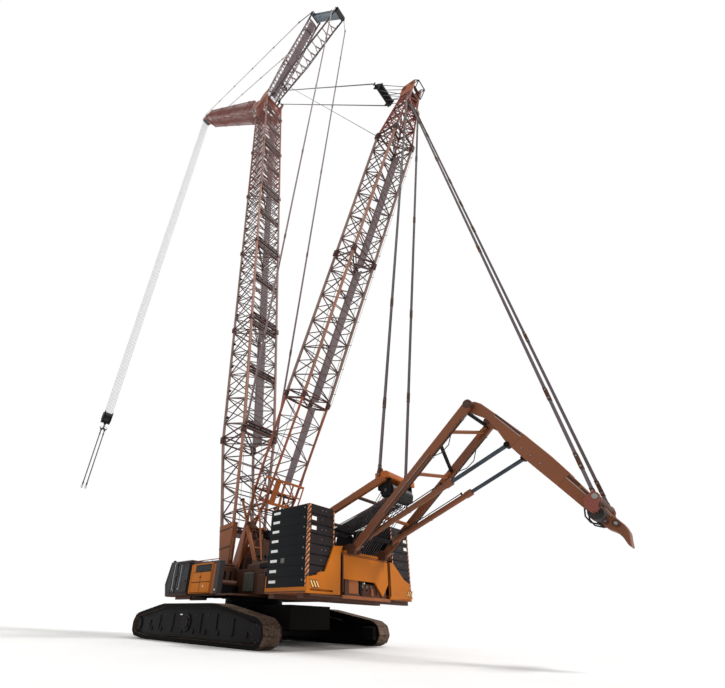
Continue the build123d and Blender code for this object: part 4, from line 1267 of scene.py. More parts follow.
@dataclass(frozen=True)
class DerrickMast(SteppedMast):
    """Derrick mast behind the boom: foot, two sections, and a head that narrows upwards."""

    foot: float = 1.218
    sections: int = 2
    depth: float = 0.0995
    width: float = 0.123
    bays: int = 10

    def build(self) -> None:
        """Makes the mast's pieces."""
        self.build_foot()
        template = self.section_shape(DERRICK_LATTICE, self.bays)
        self.walkway(template)
        self.add_line_posts(template)
        self.build_sections("derrick", DERRICK, "superstructure", [template] * self.sections)
        self.build_head()
        self.build_guards()

    def add_line_posts(self, shape: Shape) -> None:
        """Adds the posts of the safety line behind the right rear chord, and the line.

        Args:
            shape: The section.
        """
        x, y = -self.depth, -self.width - 0.002
        for s in row(0.1, 0.2, 6):
            shape.use(BLACK).tube((x, y, s), (x - 0.030, y - 0.006, s), 0.0022, 6)
        shape.use(DARK_ROPE).tube((x - 0.024, y - 0.005, 0), (x - 0.024, y - 0.005, self.section),
                                  0.0011, 5)

    def build_foot(self) -> None:
        """Makes the foot: it narrows to two leg plates on the derrick's pins."""
        stations = ((0.12, 0.024, 0.115), (0.52, 0.078, 0.118), self.station(self.foot))
        kind = DERRICK_FOOT_LATTICE
        shape = kind.build(stations, (0.25, self.foot - 0.035), 7, (self.foot - 0.03, 0.52))
        kind.frame(shape, stations, 0.26, crossed=False)
        leg = leg_outline(0.026, 0.045, 0.27)
        shape.use(ORANGE_BROWN).on(Side.BOTH).profile(leg, (0.101, 0.129), 0.002)
        shape.use(BROWN_DARK).across(0, 0, 0.017, (0.098, 0.132), 20)
        shape.use(WALKWAY).on().box((0.01, -0.112, 0.6), (0.085, -0.110, self.foot - 0.02))
        piece("derrick_foot_tubes", shape.placed(DERRICK.matrix()), "superstructure",
              "derrick_foot")

    def build_head(self) -> None:
        """Makes the head: lattice that narrows upwards, cheeks and the pendants' pins."""
        shape = DERRICK_HEAD_LATTICE.build((self.station(0), (0.52, 0.055, 0.055)), (0.02, 0.5), 6,
                                           (0.03, 0.19, 0.34, 0.5), forked=False)
        outline = ((-0.062, 0.44), (0.062, 0.44), (0.084, 0.576), (0.084, 0.62), (0.062, 0.642),
                   (-0.05, 0.642), (-0.062, 0.6))
        bracket = ((-0.058, 0.296), (-0.058, 0.384), (-0.104, 0.352), (-0.104, 0.328))
        shape.use(ORANGE_BROWN).on(Side.BOTH).profile(outline, (0.046, 0.058), 0.002)
        shape.use(RED_BROWN).profile(bracket, (0.071, 0.081), 0.001)
        shape.use(BROWN_DARK).across(0.05, 0.6, 0.02, (0.044, 0.062))
        shape.across(-0.03, 0.61, 0.014, (0.044, 0.061))
        shape.across(-0.064, 0.4, 0.0088, (0.07, 0.098), 12).on()
        shape.across(0.05, 0.6, 0.0098, (-0.046, 0.046))
        shape.across(-0.03, 0.61, 0.01, (-0.046, 0.046))
        shape.across(-0.092, 0.34, 0.0098, (-0.071, 0.071))
        shape.use(BLACK).on(Side.BOTH)
        shape.hose(((-0.05, 0.05, 0.64), (-0.10, 0.05, 0.6), (-0.085, 0.05, 0.50)), 0.004)
        shape.tube((-0.05, 0.05, 0.60), (-0.10, 0.05, 0.6), 0.003, 6).on()
        shape.across(-0.10, 0.6, 0.004, (-0.05, 0.05), 6)
        shape.across(-0.085, 0.5, 0.004, (-0.05, 0.05), 6)
        piece("derrick_head_plates", shape.placed(DERRICK.matrix(self.start)), "superstructure",
              "derrick_head")

    def build_guards(self) -> None:
        """Makes the orange guard frames round the foot, at the level of the winches' ropes."""
        shape = Shape(GUARD)
        rear, front, left, right, low, high = -0.094, 0.02, 0.104, -0.146, 0.452, 0.622
        for s, depth in ((low, 0.016), (0.532, 0.009), (0.606, 0.016)):
            shape.box((rear - 0.006, right, s), (rear + 0.004, left, s + depth), 0.001)
            for y in (left, right):
                shape.box((rear, y - 0.005, s), (front, y + 0.005, s + depth), 0.001)
        shape.box((rear - 0.004, 0.058, low), (rear, left, high), 0.001)
        for y in (right, -0.05, 0.02):
            shape.box((rear - 0.005, y - 0.004, low), (rear + 0.003, y + 0.004, high), 0.001)
        for y in (left, right):
            shape.box((front - 0.008, y - 0.004, low), (front, y + 0.004, high), 0.001)
        shape.use(WALKWAY).box((rear, right, 0.450), (front, left, 0.453))
        piece("derrick_guards", shape.placed(DERRICK.matrix()), "superstructure")


@dataclass(frozen=True)
class LuffingJib(SteppedMast):
    """Luffing jib: foot on the boom's head, three sections and the tip."""

    foot: float = 0.8
    sections: int = 3
    depth: float = 0.115
    width: float = 0.130
    bays: int = 12
    tip: float = 5.2713

    def build(self) -> None:
        """Makes the jib's pieces."""
        self.build_foot()
        template = self.section_shape(JIB_LATTICE, self.bays)
        self.build_sections("jib", JIB, "jib", [template] * self.sections)
        self.build_head()

    def build_foot(self) -> None:
        """Makes the foot with its two leg plates on the jib's pin."""
        stations = ((0.15, 0.042, self.width), self.station(0.45), self.station(self.foot))
        shape = JIB_LATTICE.build(stations, (0.18, self.foot - 0.035), 8,
                                  (0.24, 0.45, self.foot - 0.03))
        leg = leg_outline(0.028, 0.05, 0.26)
        shape.use(ORANGE_BROWN).on(Side.BOTH).profile(leg, (0.119, 0.141), 0.002)
        piece("jib_foot_tubes", shape.placed(JIB.matrix()), "jib", "jib_foot")

    def build_head(self) -> None:
        """Makes the head: lattice that narrows to the cheeks of the tip sheaves."""
        tip = self.tip - self.start
        shape = JIB_LATTICE.build((self.station(0), (0.68, 0.046, 0.084)), (0.02, 0.64), 7,
                                  forked=False)
        outline = ((-0.055, 0.62), (0.055, 0.62), (0.1, tip - 0.04), (0.1, tip + 0.03),
                   (0.03, tip + 0.04), (-0.06, tip - 0.06), (-0.08, 0.78), (-0.055, 0.74))
        shape.use(JIB_CHORD).on(Side.BOTH).profile(outline, (0.082, 0.094), 0.002)
        shape.use(BLACK).across(0.06, tip, 0.018, (0.08, 0.098), 18)
        shape.across(-0.06, 0.78, 0.008, (0.094, 0.112), 12).on()
        shape.across(0.06, tip, 0.0098, (-0.082, 0.082))
        shape.across(0, 0.78, 0.014, (-0.082, 0.082), 14)
        piece("jib_head_plates", shape.placed(JIB.matrix(self.start)), "jib",
              "jib_head")


@dataclass(frozen=True)
class Struts:
    """Front strut on the jib's pin and rear strut on the boom's head."""

    posts: int = 8
    rungs: int = 11

    def build(self) -> None:
        """Makes both struts."""
        self.build_front()
        self.build_rear()

    def build_front(self) -> None:
        """Makes the front strut: broad in the middle, closely laced, with a narrow head."""
        stations = ((0.15, 0.022, 0.098), (0.9, 0.062, 0.106), (1.80, 0.022, 0.088))
        shape = STRUT_LATTICE.build(stations, (0.19, 1.78), 24, (0.2, 0.9, 1.6), forked=False)
        shape.use(WALKWAY).box((-0.02, -0.055, 0.3), (-0.018, 0.055, 1.79))
        head = symmetric(((0.026, 1.70), (0.032, 1.88), (0.02, 1.918)))
        shape.use(LILAC).on(Side.BOTH).profile(leg_outline(0.026, 0.026, 0.2), (0.089, 0.107), 0.001)
        shape.use(BLACK).profile(head, (0.086, 0.098), 0.001)
        shape.across(0, 1.89, 0.008, (0.098, 0.106), 12).on()
        shape.across(0, 1.78, 0.008, (-0.086, 0.086), 12)
        piece("front_strut_tubes", shape.placed(STRUT.matrix()), "jib", "front_strut")

    def build_rear(self) -> None:
        """Makes the rear strut: two laced sides joined by rungs, with posts below."""
        kind = REAR_STRUT_LATTICE
        shape = Shape(STRUT_PAINT)
        stations = ((0.02, 0.016, 0.068), (0.7, 0.044, 0.092), (1.4, 0.02, 0.078))
        kind.chords(shape, stations)
        kind.laces(shape, stations, (0.06, 1.36), 16, faces=(1, 3))
        for s in row(0.19, 0.112, self.rungs):
            for depth in (-1, 1):
                self.add_rung(shape, kind.corner(stations, s, (depth, 1)))
        for s in (0.06, 0.12, 0.18):
            kind.frame(shape, stations, s)
        head = symmetric(((0.024, 1.33), (0.03, 1.5), (0.018, 1.53)))
        shape.use(BLACK).on(Side.BOTH).profile(head, (0.078, 0.088), 0.001)
        shape.use(STRUT_PAINT).box((-0.014, 0.056, 0), (0.014, 0.082, 0.06), 0.001)
        shape.use(LILAC)
        for s in row(0.25, 0.13, self.posts):
            corner = kind.corner(stations, s, (-1, 1))
            shape.tube(corner, corner + Vector((-0.036, 0, 0)), 0.0028, 5)
        shape.use(BLACK).on().across(0, REAR_STRUT_LENGTH, 0.0088, (-0.1, 0.1))
        for y in (-0.04, 0.0, 0.04):
            shape.sheave((0.0, y, 0.24), 0.026, 0.02, 20)
        shape.use(BLACK).across(0, 0.24, 0.006, (-0.075, 0.075), 10)
        piece("rear_strut_tubes", shape.placed(REAR_STRUT.matrix()), "boom",
              "rear_strut")

    def add_rung(self, shape: Shape, left: Vector) -> None:
        """Adds a Y-shaped rung from a place on the left side to the right side.

        Args:
            shape: The strut.
            left: Place of its left end.
        """
        shape.use(LILAC)
        right = flipped(left, -1)
        middle = (left + right) / 2
        shape.tube(left, middle, 0.0062, 6)
        for s in (-0.035, 0.035):
            shape.tube(middle, right + Vector((0, 0, s)), 0.0052, 6)


# ------------------------------------------------------------------------------- rigging
@dataclass(frozen=True)
class Pendants:
    """Pendant bars between the masts: pairs of flat links joined by couplings."""

    width: float = 0.0115
    gap: float = 0.0050
    plate_gap: float = 0.0072
    plate_half: float = 0.032
    pin_half: float = 0.0095

    def run(self, shape: Shape, start: Vector, end: Vector, couplings: Sequence[float],
            finish: Finish = PENDANT) -> None:
        """Adds one pendant.

        Args:
            shape: The shape that it joins.
            start: Its first pin.
            end: Its last pin.
            couplings: Shares of its length at which couplings sit.
            finish: Finish of its bars.
        """
        along = (end - start).normalized()
        across = Vector((0, 1, 0)).cross(along).normalized() * 0.007
        pin, reach = Vector((0, self.pin_half, 0)), along * self.plate_half
        for sign in (-1, 1):
            side = Vector((0, sign * self.gap, 0))
            shape.use(finish).beam(start + side, end + side, 0.0028, self.width)
        for share in (0.0, *couplings, 1.0):
            middle = start.lerp(end, share)
            for sign in (-1, 1):
                spot = middle + Vector((0, sign * self.plate_gap, 0))
                shape.use(BROWN_DARK).beam(spot - reach, spot + reach, 0.0022, 0.014, 0.0008)
                spot = middle + along * sign * 0.02
                shape.use(BOLT).tube(spot - pin, spot + pin, 0.0036)
            shape.use(SHEAVE).beam(middle - across, middle + across, 0.01, 0.008)

    def stays(self, name: str, body: str, node: str, line: tuple[Vector, Vector],
              bridle: tuple[float, float], couplings: Sequence[float]) -> None:
        """Makes a strut's pair of stays, each with a link between its pin and its first bar.

        Args:
            name: The piece's name.
            body: The body that they ride on.
            node: The CAD node that they stand for.
            line: The left stay's pin on the strut's head and its last pin.
            bridle: Share of the line at which the first bar begins, and y of its pin.
            couplings: Shares of its length at which couplings sit.
        """
        shape = Shape(PENDANT)
        for sign in (1, -1):
            pin, foot = (flipped(spot, sign) for spot in line)
            start = pin.lerp(foot, bridle[0])
            start.y = sign * bridle[1]
            shape.use(STRUT_PAINT).beam(pin, start, 0.012, 0.007, 0.001)
            shape.use(BLACK).across(pin.x, pin.z, 0.011, (pin.y - 0.010, pin.y + 0.010), 14)
            shape.across(start.x, start.z, 0.008, (start.y - 0.010, start.y + 0.010), 12)
            self.run(shape, start, foot, couplings, LILAC)
        piece(name, shape, body, node)

    def build(self) -> None:
        """Makes the pendants that ride on the superstructure, the boom and the jib."""
        derrick = Shape(PENDANT)
        for sign, shares in ((1, (0.15, 0.675, 0.885)), (-1, (0.188, 0.398, 0.66, 0.845))):
            self.run(derrick, DERRICK.point(-0.064, sign * 0.090, 4.018),
                     GANTRY_HEAD + Vector((0, sign * 0.121, 0)), shares)
        piece("derrick_pendant_links", derrick, "superstructure", "derrick_pendants")
        self.stays("rear_stay_links", "boom", "rear_stays",
                   (REAR_STRUT.point(0, 0.094, REAR_STRUT_LENGTH), BOOM.point(-0.163, 0.154, 1.135)),
                   (0.032, 0.154), (0.12, 0.3, 0.5, 0.7, 0.88))
        self.stays("front_stay_links", "jib", "front_stays",
                   (STRUT.point(0, 0.101, STRUT_LENGTH), JIB.point(-0.06, 0.103, 5.18)),
                   (0.075, 0.126), (0.2, 0.4, 0.6, 0.8))


@dataclass(frozen=True)
class Nest:
    """A nest of sheaves that ropes leave: its place on their line, radius and half width."""

    s: float
    radius: float
    half: float


@dataclass(frozen=True)
class Ropes:
    """Wire ropes between sheaves: luffing gear, strut gear, hoist and gantry reeving."""

    thin: float = 0.0017
    thick: float = 0.0026

    def falls(self, finish: Finish, line: Mast, nests: tuple[Nest, Nest], count: int,
              radius: float) -> Shape:
        """Rope falls between two nests of sheaves.

        Args:
            finish: The ropes' finish.
            line: Line between the nests.
            nests: The two nests.
            count: Number of ropes on each side of the line.
            radius: The ropes' radius.

        Returns:
            A shape with the ropes.
        """
        shape = Shape(finish)
        for share in row(-1.0, 2 / (count - 1), count):
            for side in (1, -1):
                ends = [line.point(side * nest.radius, share * nest.half, nest.s)
                        for nest in nests]
                shape.hose(ends, radius)
        return shape

    def build(self) -> None:
        """Makes every set of ropes."""
        self.build_falls()
        self.build_reeving()
        self.build_guides()

    def build_falls(self) -> None:
        """Makes the ropes between the bodies that move: boom luffing, jib luffing and hoist."""
        line, low = LUFFING_LINE, LUFFING_LINE.point(0, 0, 0.43)
        shape = self.falls(DARK_ROPE, line, (Nest(0, 0.036, 0.038), Nest(0.43, 0.026, 0.082)), 4,
                           self.thick)
        piece("luffing_ropes", shape, "luffing_sheaves",
              blend=("luffing_block", line.pivot, low))
        line, end = STRUT_LINE, STRUT.point(0, 0, STRUT_LENGTH)
        length = (end - line.pivot).length
        shape = self.falls(STRUT_ROPE, line, (Nest(0, 0.022, 0.054), Nest(length, 0.022, 0.054)),
                           14, 0.0034)
        piece("strut_ropes", shape, "rear_strut_sheaves",
              blend=("front_strut_sheaves", line.pivot, end))
        top, low = (Vector((TIP.x, 0, z)) for z in (TIP.z - 0.03, HOOK.z + 0.33))
        shape = self.falls(ROPE, leaning(top, low),
                           (Nest(0, 0.040, 0.064), Nest(top.z - low.z, 0.034, 0.046)), 6, 0.0028)
        piece("hoist_ropes", shape, "hoist_rope_guide",
              blend=("hook_block", top - Vector((0, 0, 0.06)), low))

    def build_reeving(self) -> None:
        """Makes the gantry's reeving, from its head to the lower block and to the winch."""
        head, block = Vector((-1.088, 0, 0.692)), Vector((-0.78, 0, 0.345))
        nests = (Nest(0, 0.037, 0.078), Nest((block - head).length, 0.026, 0.068))
        shape = self.falls(DARK_ROPE, leaning(head, block), nests, 9, self.thin)
        for y in row(-0.075, 0.015, 11):
            for drop in (-0.012, 0.0):
                shape.tube(head + Vector((0.02, y, -0.036 + drop)), (-0.68, y, 0.545 + drop),
                           self.thick, 6)
        piece("gantry_reeving", shape, "superstructure")

    def build_guides(self) -> None:
        """Makes the winch ropes that run up the boom and the derrick."""
        shape = Shape(ROPE).on(Side.BOTH)
        shape.tube(BOOM.point(-0.118, 0.045, 0.5), BOOM.point(-0.062, 0.045, 7.6), self.thin, 6)
        shape.on().tube(BOOM.point(0.03, 0.02, 0.4), BOOM.point(0.02, 0.02, 7.55), self.thin, 6)
        piece("boom_hoist_ropes", shape, "boom")
        shape = Shape(ROPE).on(Side.BOTH)
        shape.tube((-0.12, 0.045, 0.405), BOOM.point(-0.118, 0.045, 0.5), self.thin, 6)
        piece("winch_ropes", shape, "superstructure",
              blend=("boom", Vector((-0.1, 0, 0.4)), BOOM.point(-0.118, 0, 0.5)))
        start, end = REAR_STRUT.point(-0.02, -0.06, 0.30), DERRICK.point(0.08, 0.09, 3.62)
        piece("auxiliary_rope", Shape(DARK_ROPE).tube(start, end, self.thick, 6), "boom",
              blend=("superstructure", start, end))
        shape = Shape(DARK_ROPE)
        for x, y, top in ((-0.12, -0.1, 4.2), (0.11, 0.02, 3.5)):
            shape.tube(DERRICK.point(x, y, 0.6), DERRICK.point(x * 0.6, y * 0.5, top), self.thin, 6)
        piece("derrick_lines", shape, "superstructure")


@dataclass(frozen=True)
class HookGear:
    """Hook block with its sheaves, double hook and the two sling legs, from the hook's place."""

    top: float = 0.338
    low: float = 0.140
    shank: float = 0.075
    radius: float = 0.0085
    spread: float = 0.026

    def build(self) -> None:
        """Makes the block, the hook and the slings."""
        place = Matrix.Translation((HOOK.x, 0, HOOK.z))
        piece("hook_block_plates", self.block().placed(place), "hook_block",
              "hook_block")
        piece("hook_bow", self.hook().placed(place), "hook", "hook")
        piece("hook_sling_legs", self.slings().placed(place), "hook", "hook_slings")

    def block(self) -> Shape:
        """The block's cheeks, weights and sheaves.

        Returns:
            The shape, from the hook's place.
        """
        shape = Shape(BLACK).on(Side.BOTH)
        cheek = symmetric(((0.022, self.low), (0.044, 0.195), (0.0495, 0.26), (0.048, self.top),
                           (0.024, self.top - 0.01)))
        shape.profile(cheek, (0.053, 0.063), 0.002)
        for side, y in ((Side.LEFT, 0.054), (Side.RIGHT, 0.050)):
            for x in (-0.038, 0.038):
                shape.on(side).box((x - 0.006, y, 0.20), (x + 0.006, y + 0.012, 0.31), 0.001)
        shape.use(BOLT).on(Side.BOTH).across(0, 0.29, 0.013, (0.062, 0.0638), 12)
        for height in (0.165, 0.235):
            shape.across(0, height, 0.005, (0.062, 0.0638), 8)
        shape.use(BLACK).on().box((-0.020, -0.054, self.low + 0.004), (0.020, 0.054, 0.182), 0.003)
        for y in row(-0.043, 0.0172, 6):
            shape.sheave((0, y, 0.285), 0.043, 0.015)
        shape.use(BLACK).across(0, 0.285, 0.008, (-0.06, 0.06), 14)
        return shape.box((-0.046, -0.054, 0.205), (0.046, 0.054, 0.236), 0.003)

    def hook(self) -> Shape:
        """The swivelling double hook under the block, with its nut and latches.

        Returns:
            The shape, from the hook's place.
        """
        shape = Shape(SHEAVE)
        shape.tube((0, 0, self.shank), (0, 0, self.low + 0.008), 0.010, 16)
        shape.use(BLACK).tube((0, 0, self.low - 0.016), (0, 0, self.low), 0.019, 16)
        bow = [(0, 0.026 + 0.024 * cos(turn), 0.062 + 0.026 * sin(turn))
               for turn in (radians(angle) for angle in row(170, 25, 9))]
        sizes = (0.013, 0.0145, 0.0155, 0.0155, 0.014, 0.012, 0.009, 0.006, 0.004)
        shape.use(SHEAVE).on(Side.BOTH)
        for start, end, first, last in zip(bow, bow[1:], sizes, sizes[1:]):
            shape.tube(start, end, first, 12, last)
        return shape.use(BOLT).beam((0, 0.012, 0.092), (0, 0.044, 0.072), 0.006, 0.003)

    def slings(self) -> Shape:
        """The shackles, the two sling legs and the spliced eyes at their ends.

        Returns:
            The shape, from the hook's place.
        """
        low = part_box("hook_slings")[0][2] - HOOK.z
        y = self.spread
        shape = Shape(BOLT_DARK).on(Side.BOTH)
        shape.tube((0, y, 0.040), (0, y, 0.012), 0.010, 12)
        shape.box((-0.012, y - 0.012, 0.006), (0.012, y + 0.012, 0.020), 0.003)
        for top, end in ((-0.03, -0.06), (low + 0.09, low + 0.06)):
            shape.tube((0, y, top), (0, y, end), self.radius * 1.3, 10)
        shape.use(SLING).tube((0, y, 0.010), (0, y, low + 0.05), self.radius, 10)
        loop = [(0, y + 0.010 * cos(turn), low + 0.028 + 0.026 * sin(turn))
                for turn in (radians(angle) for angle in row(90, 30, 13))]
        return shape.hose(loop, 0.004, 8)


# ------------------------------------------------------------------------------- upper works
@dataclass(frozen=True)
class Counterweights:
    """Two stacks of slabs with their marks, and what the rear panels carry."""

    rear: float = -0.873
    front: float = -0.600
    inner: float = 0.241
    outer: float = 0.415
    low: float = 0.243
    step: float = 0.0444
    slabs: int = 8
    gap: float = 0.0006

    def build(self) -> None:
        """Makes both stacks and the rear panels' fittings."""
        for side, name in ((Side.LEFT, "left"), (Side.RIGHT, "right")):
            piece(f"counterweight_slabs_{name}", self.stack(side), "superstructure",
                  f"counterweight_{name}")
        self.build_panels()

    def stack(self, side: Side) -> Shape:
        """One side's slabs with handles, lugs and warning stripes.

        Args:
            side: The side.

        Returns:
            The shape.
        """
        shape = Shape(SLATE).on(side)
        rear, front, inner, outer, skin = (self.rear, self.front, self.inner, self.outer,
                                           self.outer - 0.0015)
        for number in range(self.slabs):
            z = self.low + number * self.step
            top = z + self.step - self.gap
            shape.use(SLATE).box((rear + 0.001, inner + 0.001, z),
                                 (front - 0.001, outer - 0.001, top), 0.0007)
            shape.use(WHITE).box((-0.668, skin, z + 0.0185), (-0.620, outer, z + 0.0305), 0.0008)
            shape.use(GREY).across(-0.842, z + 0.027, 0.0045, (outer - 0.004, outer + 0.001), 10)
            for y in (0.328, 0.330 - 0.028 * (number % 2)):
                shape.tube((rear - 0.001, y, z + 0.024), (rear + 0.004, y, z + 0.024), 0.0032)
            shape.use(SLATE_REAR).box((rear, inner + 0.004, z + 0.003),
                                      (rear + 0.003, outer - 0.004, top - 0.003))
            shape.use(HAZARD).box((rear, skin, z + 0.001), (rear + 0.014, outer, top - 0.001))
            for first, second in ((outer - 0.010, outer), (inner, inner + 0.008)):
                shape.box((rear - 0.0006, first, z + 0.001), (rear + 0.002, second, top - 0.001))
        shape.use(SLATE).box((rear + 0.008, inner + 0.008, self.low),
                             (front - 0.008, outer - 0.008, top))
        for low, high in ((0.524, 0.541), (0.481, 0.498)):
            shape.use(WHITE).box((rear - 0.0012, 0.366, low), (rear + 0.002, 0.398, high), 0.0008)
        shape.use(GREY).box((-0.72, skin, 0.345), (-0.695, outer + 0.0003, 0.366), 0.0005)
        shape.use(BLACK)
        for x in (-0.83, -0.64):
            for y in (inner + 0.03, outer - 0.03):
                shape.tube((x, y, top), (x, y, top + 0.010), 0.005)
        return shape

    def build_panels(self) -> None:
        """Makes slashes, edge strips and fittings of the trays and the rear panels."""
        shape = Shape(ORANGE).on(Side.BOTH)
        for y in row(0.408, -0.0175, 3):
            for finish, grow, depth in ((BROWN_DARK, 0.0026, 0.0), (WHITE_WARM, 0.0, 0.0006)):
                outline = ((y + grow, 0.268 + grow), (y - 0.0075 - grow, 0.268 + grow),
                           (y - 0.0235 - grow, 0.243 - grow), (y - 0.016 + grow, 0.243 - grow))
                shape.use(finish).wall(outline, (-0.8862 - depth, -0.8845))
        shape.use(BROWN).box((-0.872, 0.2415, 0.2195), (-0.601, 0.4145, 0.2235), 0.001)
        shape.use(BROWN_DARK).box((-0.872, 0.4135, 0.223), (-0.601, 0.4160, 0.2275))
        shape.use(ORANGE).box((-0.604, 0.4135, 0.224), (-0.598, 0.4160, 0.292), 0.001)
        shape.use(BROWN_DARK).box((-0.8885, 0.1905, 0.235), (-0.884, 0.196, 0.40))
        shape.on().use(BROWN).box((-0.884, -0.178, 0.396), (-0.800, 0.188, 0.404), 0.002)
        shape.box((-0.876, 0.062, 0.230), (-0.858, 0.138, 0.300), 0.003)
        shape.box((-0.8846, -0.192, 0.2085), (-0.872, 0.192, 0.2225), 0.002)
        shape.box((-0.879, -0.052, 0.226), (-0.868, -0.036, 0.262), 0.002)
        shape.use(ORANGE).box((-0.880, -0.16, 0.404), (-0.850, 0.17, 0.418), 0.003)
        shape.use(BROWN_DARK).box((-0.885, 0.192, 0.2085), (-0.874, 0.40, 0.2165), 0.002)
        shape.use(BLACK).box((-0.8765, 0.036, 0.226), (-0.868, 0.054, 0.300), 0.001)
        for y in (0.03, -0.005, -0.04):
            shape.use(GREY).tube((-0.874, y, 0.268), (-0.862, y, 0.268), 0.006, 12)
            shape.use(BLACK).tube((-0.878, y, 0.252), (-0.862, y, 0.252), 0.003)
        shape.use(LAMP).tube((-0.879, 0.02, 0.282), (-0.868, 0.02, 0.282), 0.004, 12)
        shape.use(BOLT)
        for y, z in ((0.24, 0.24), (0.40, 0.27), (0.22, 0.38), (-0.24, 0.25), (-0.39, 0.25),
                     (-0.21, 0.38), (0.17, 0.305), (0.17, 0.385), (-0.16, 0.385), (-0.16, 0.305)):
            shape.tube((-0.8872, y, z), (-0.8845, y, z), 0.0022, 6)
        piece("rear_panel_fittings", shape, "superstructure")


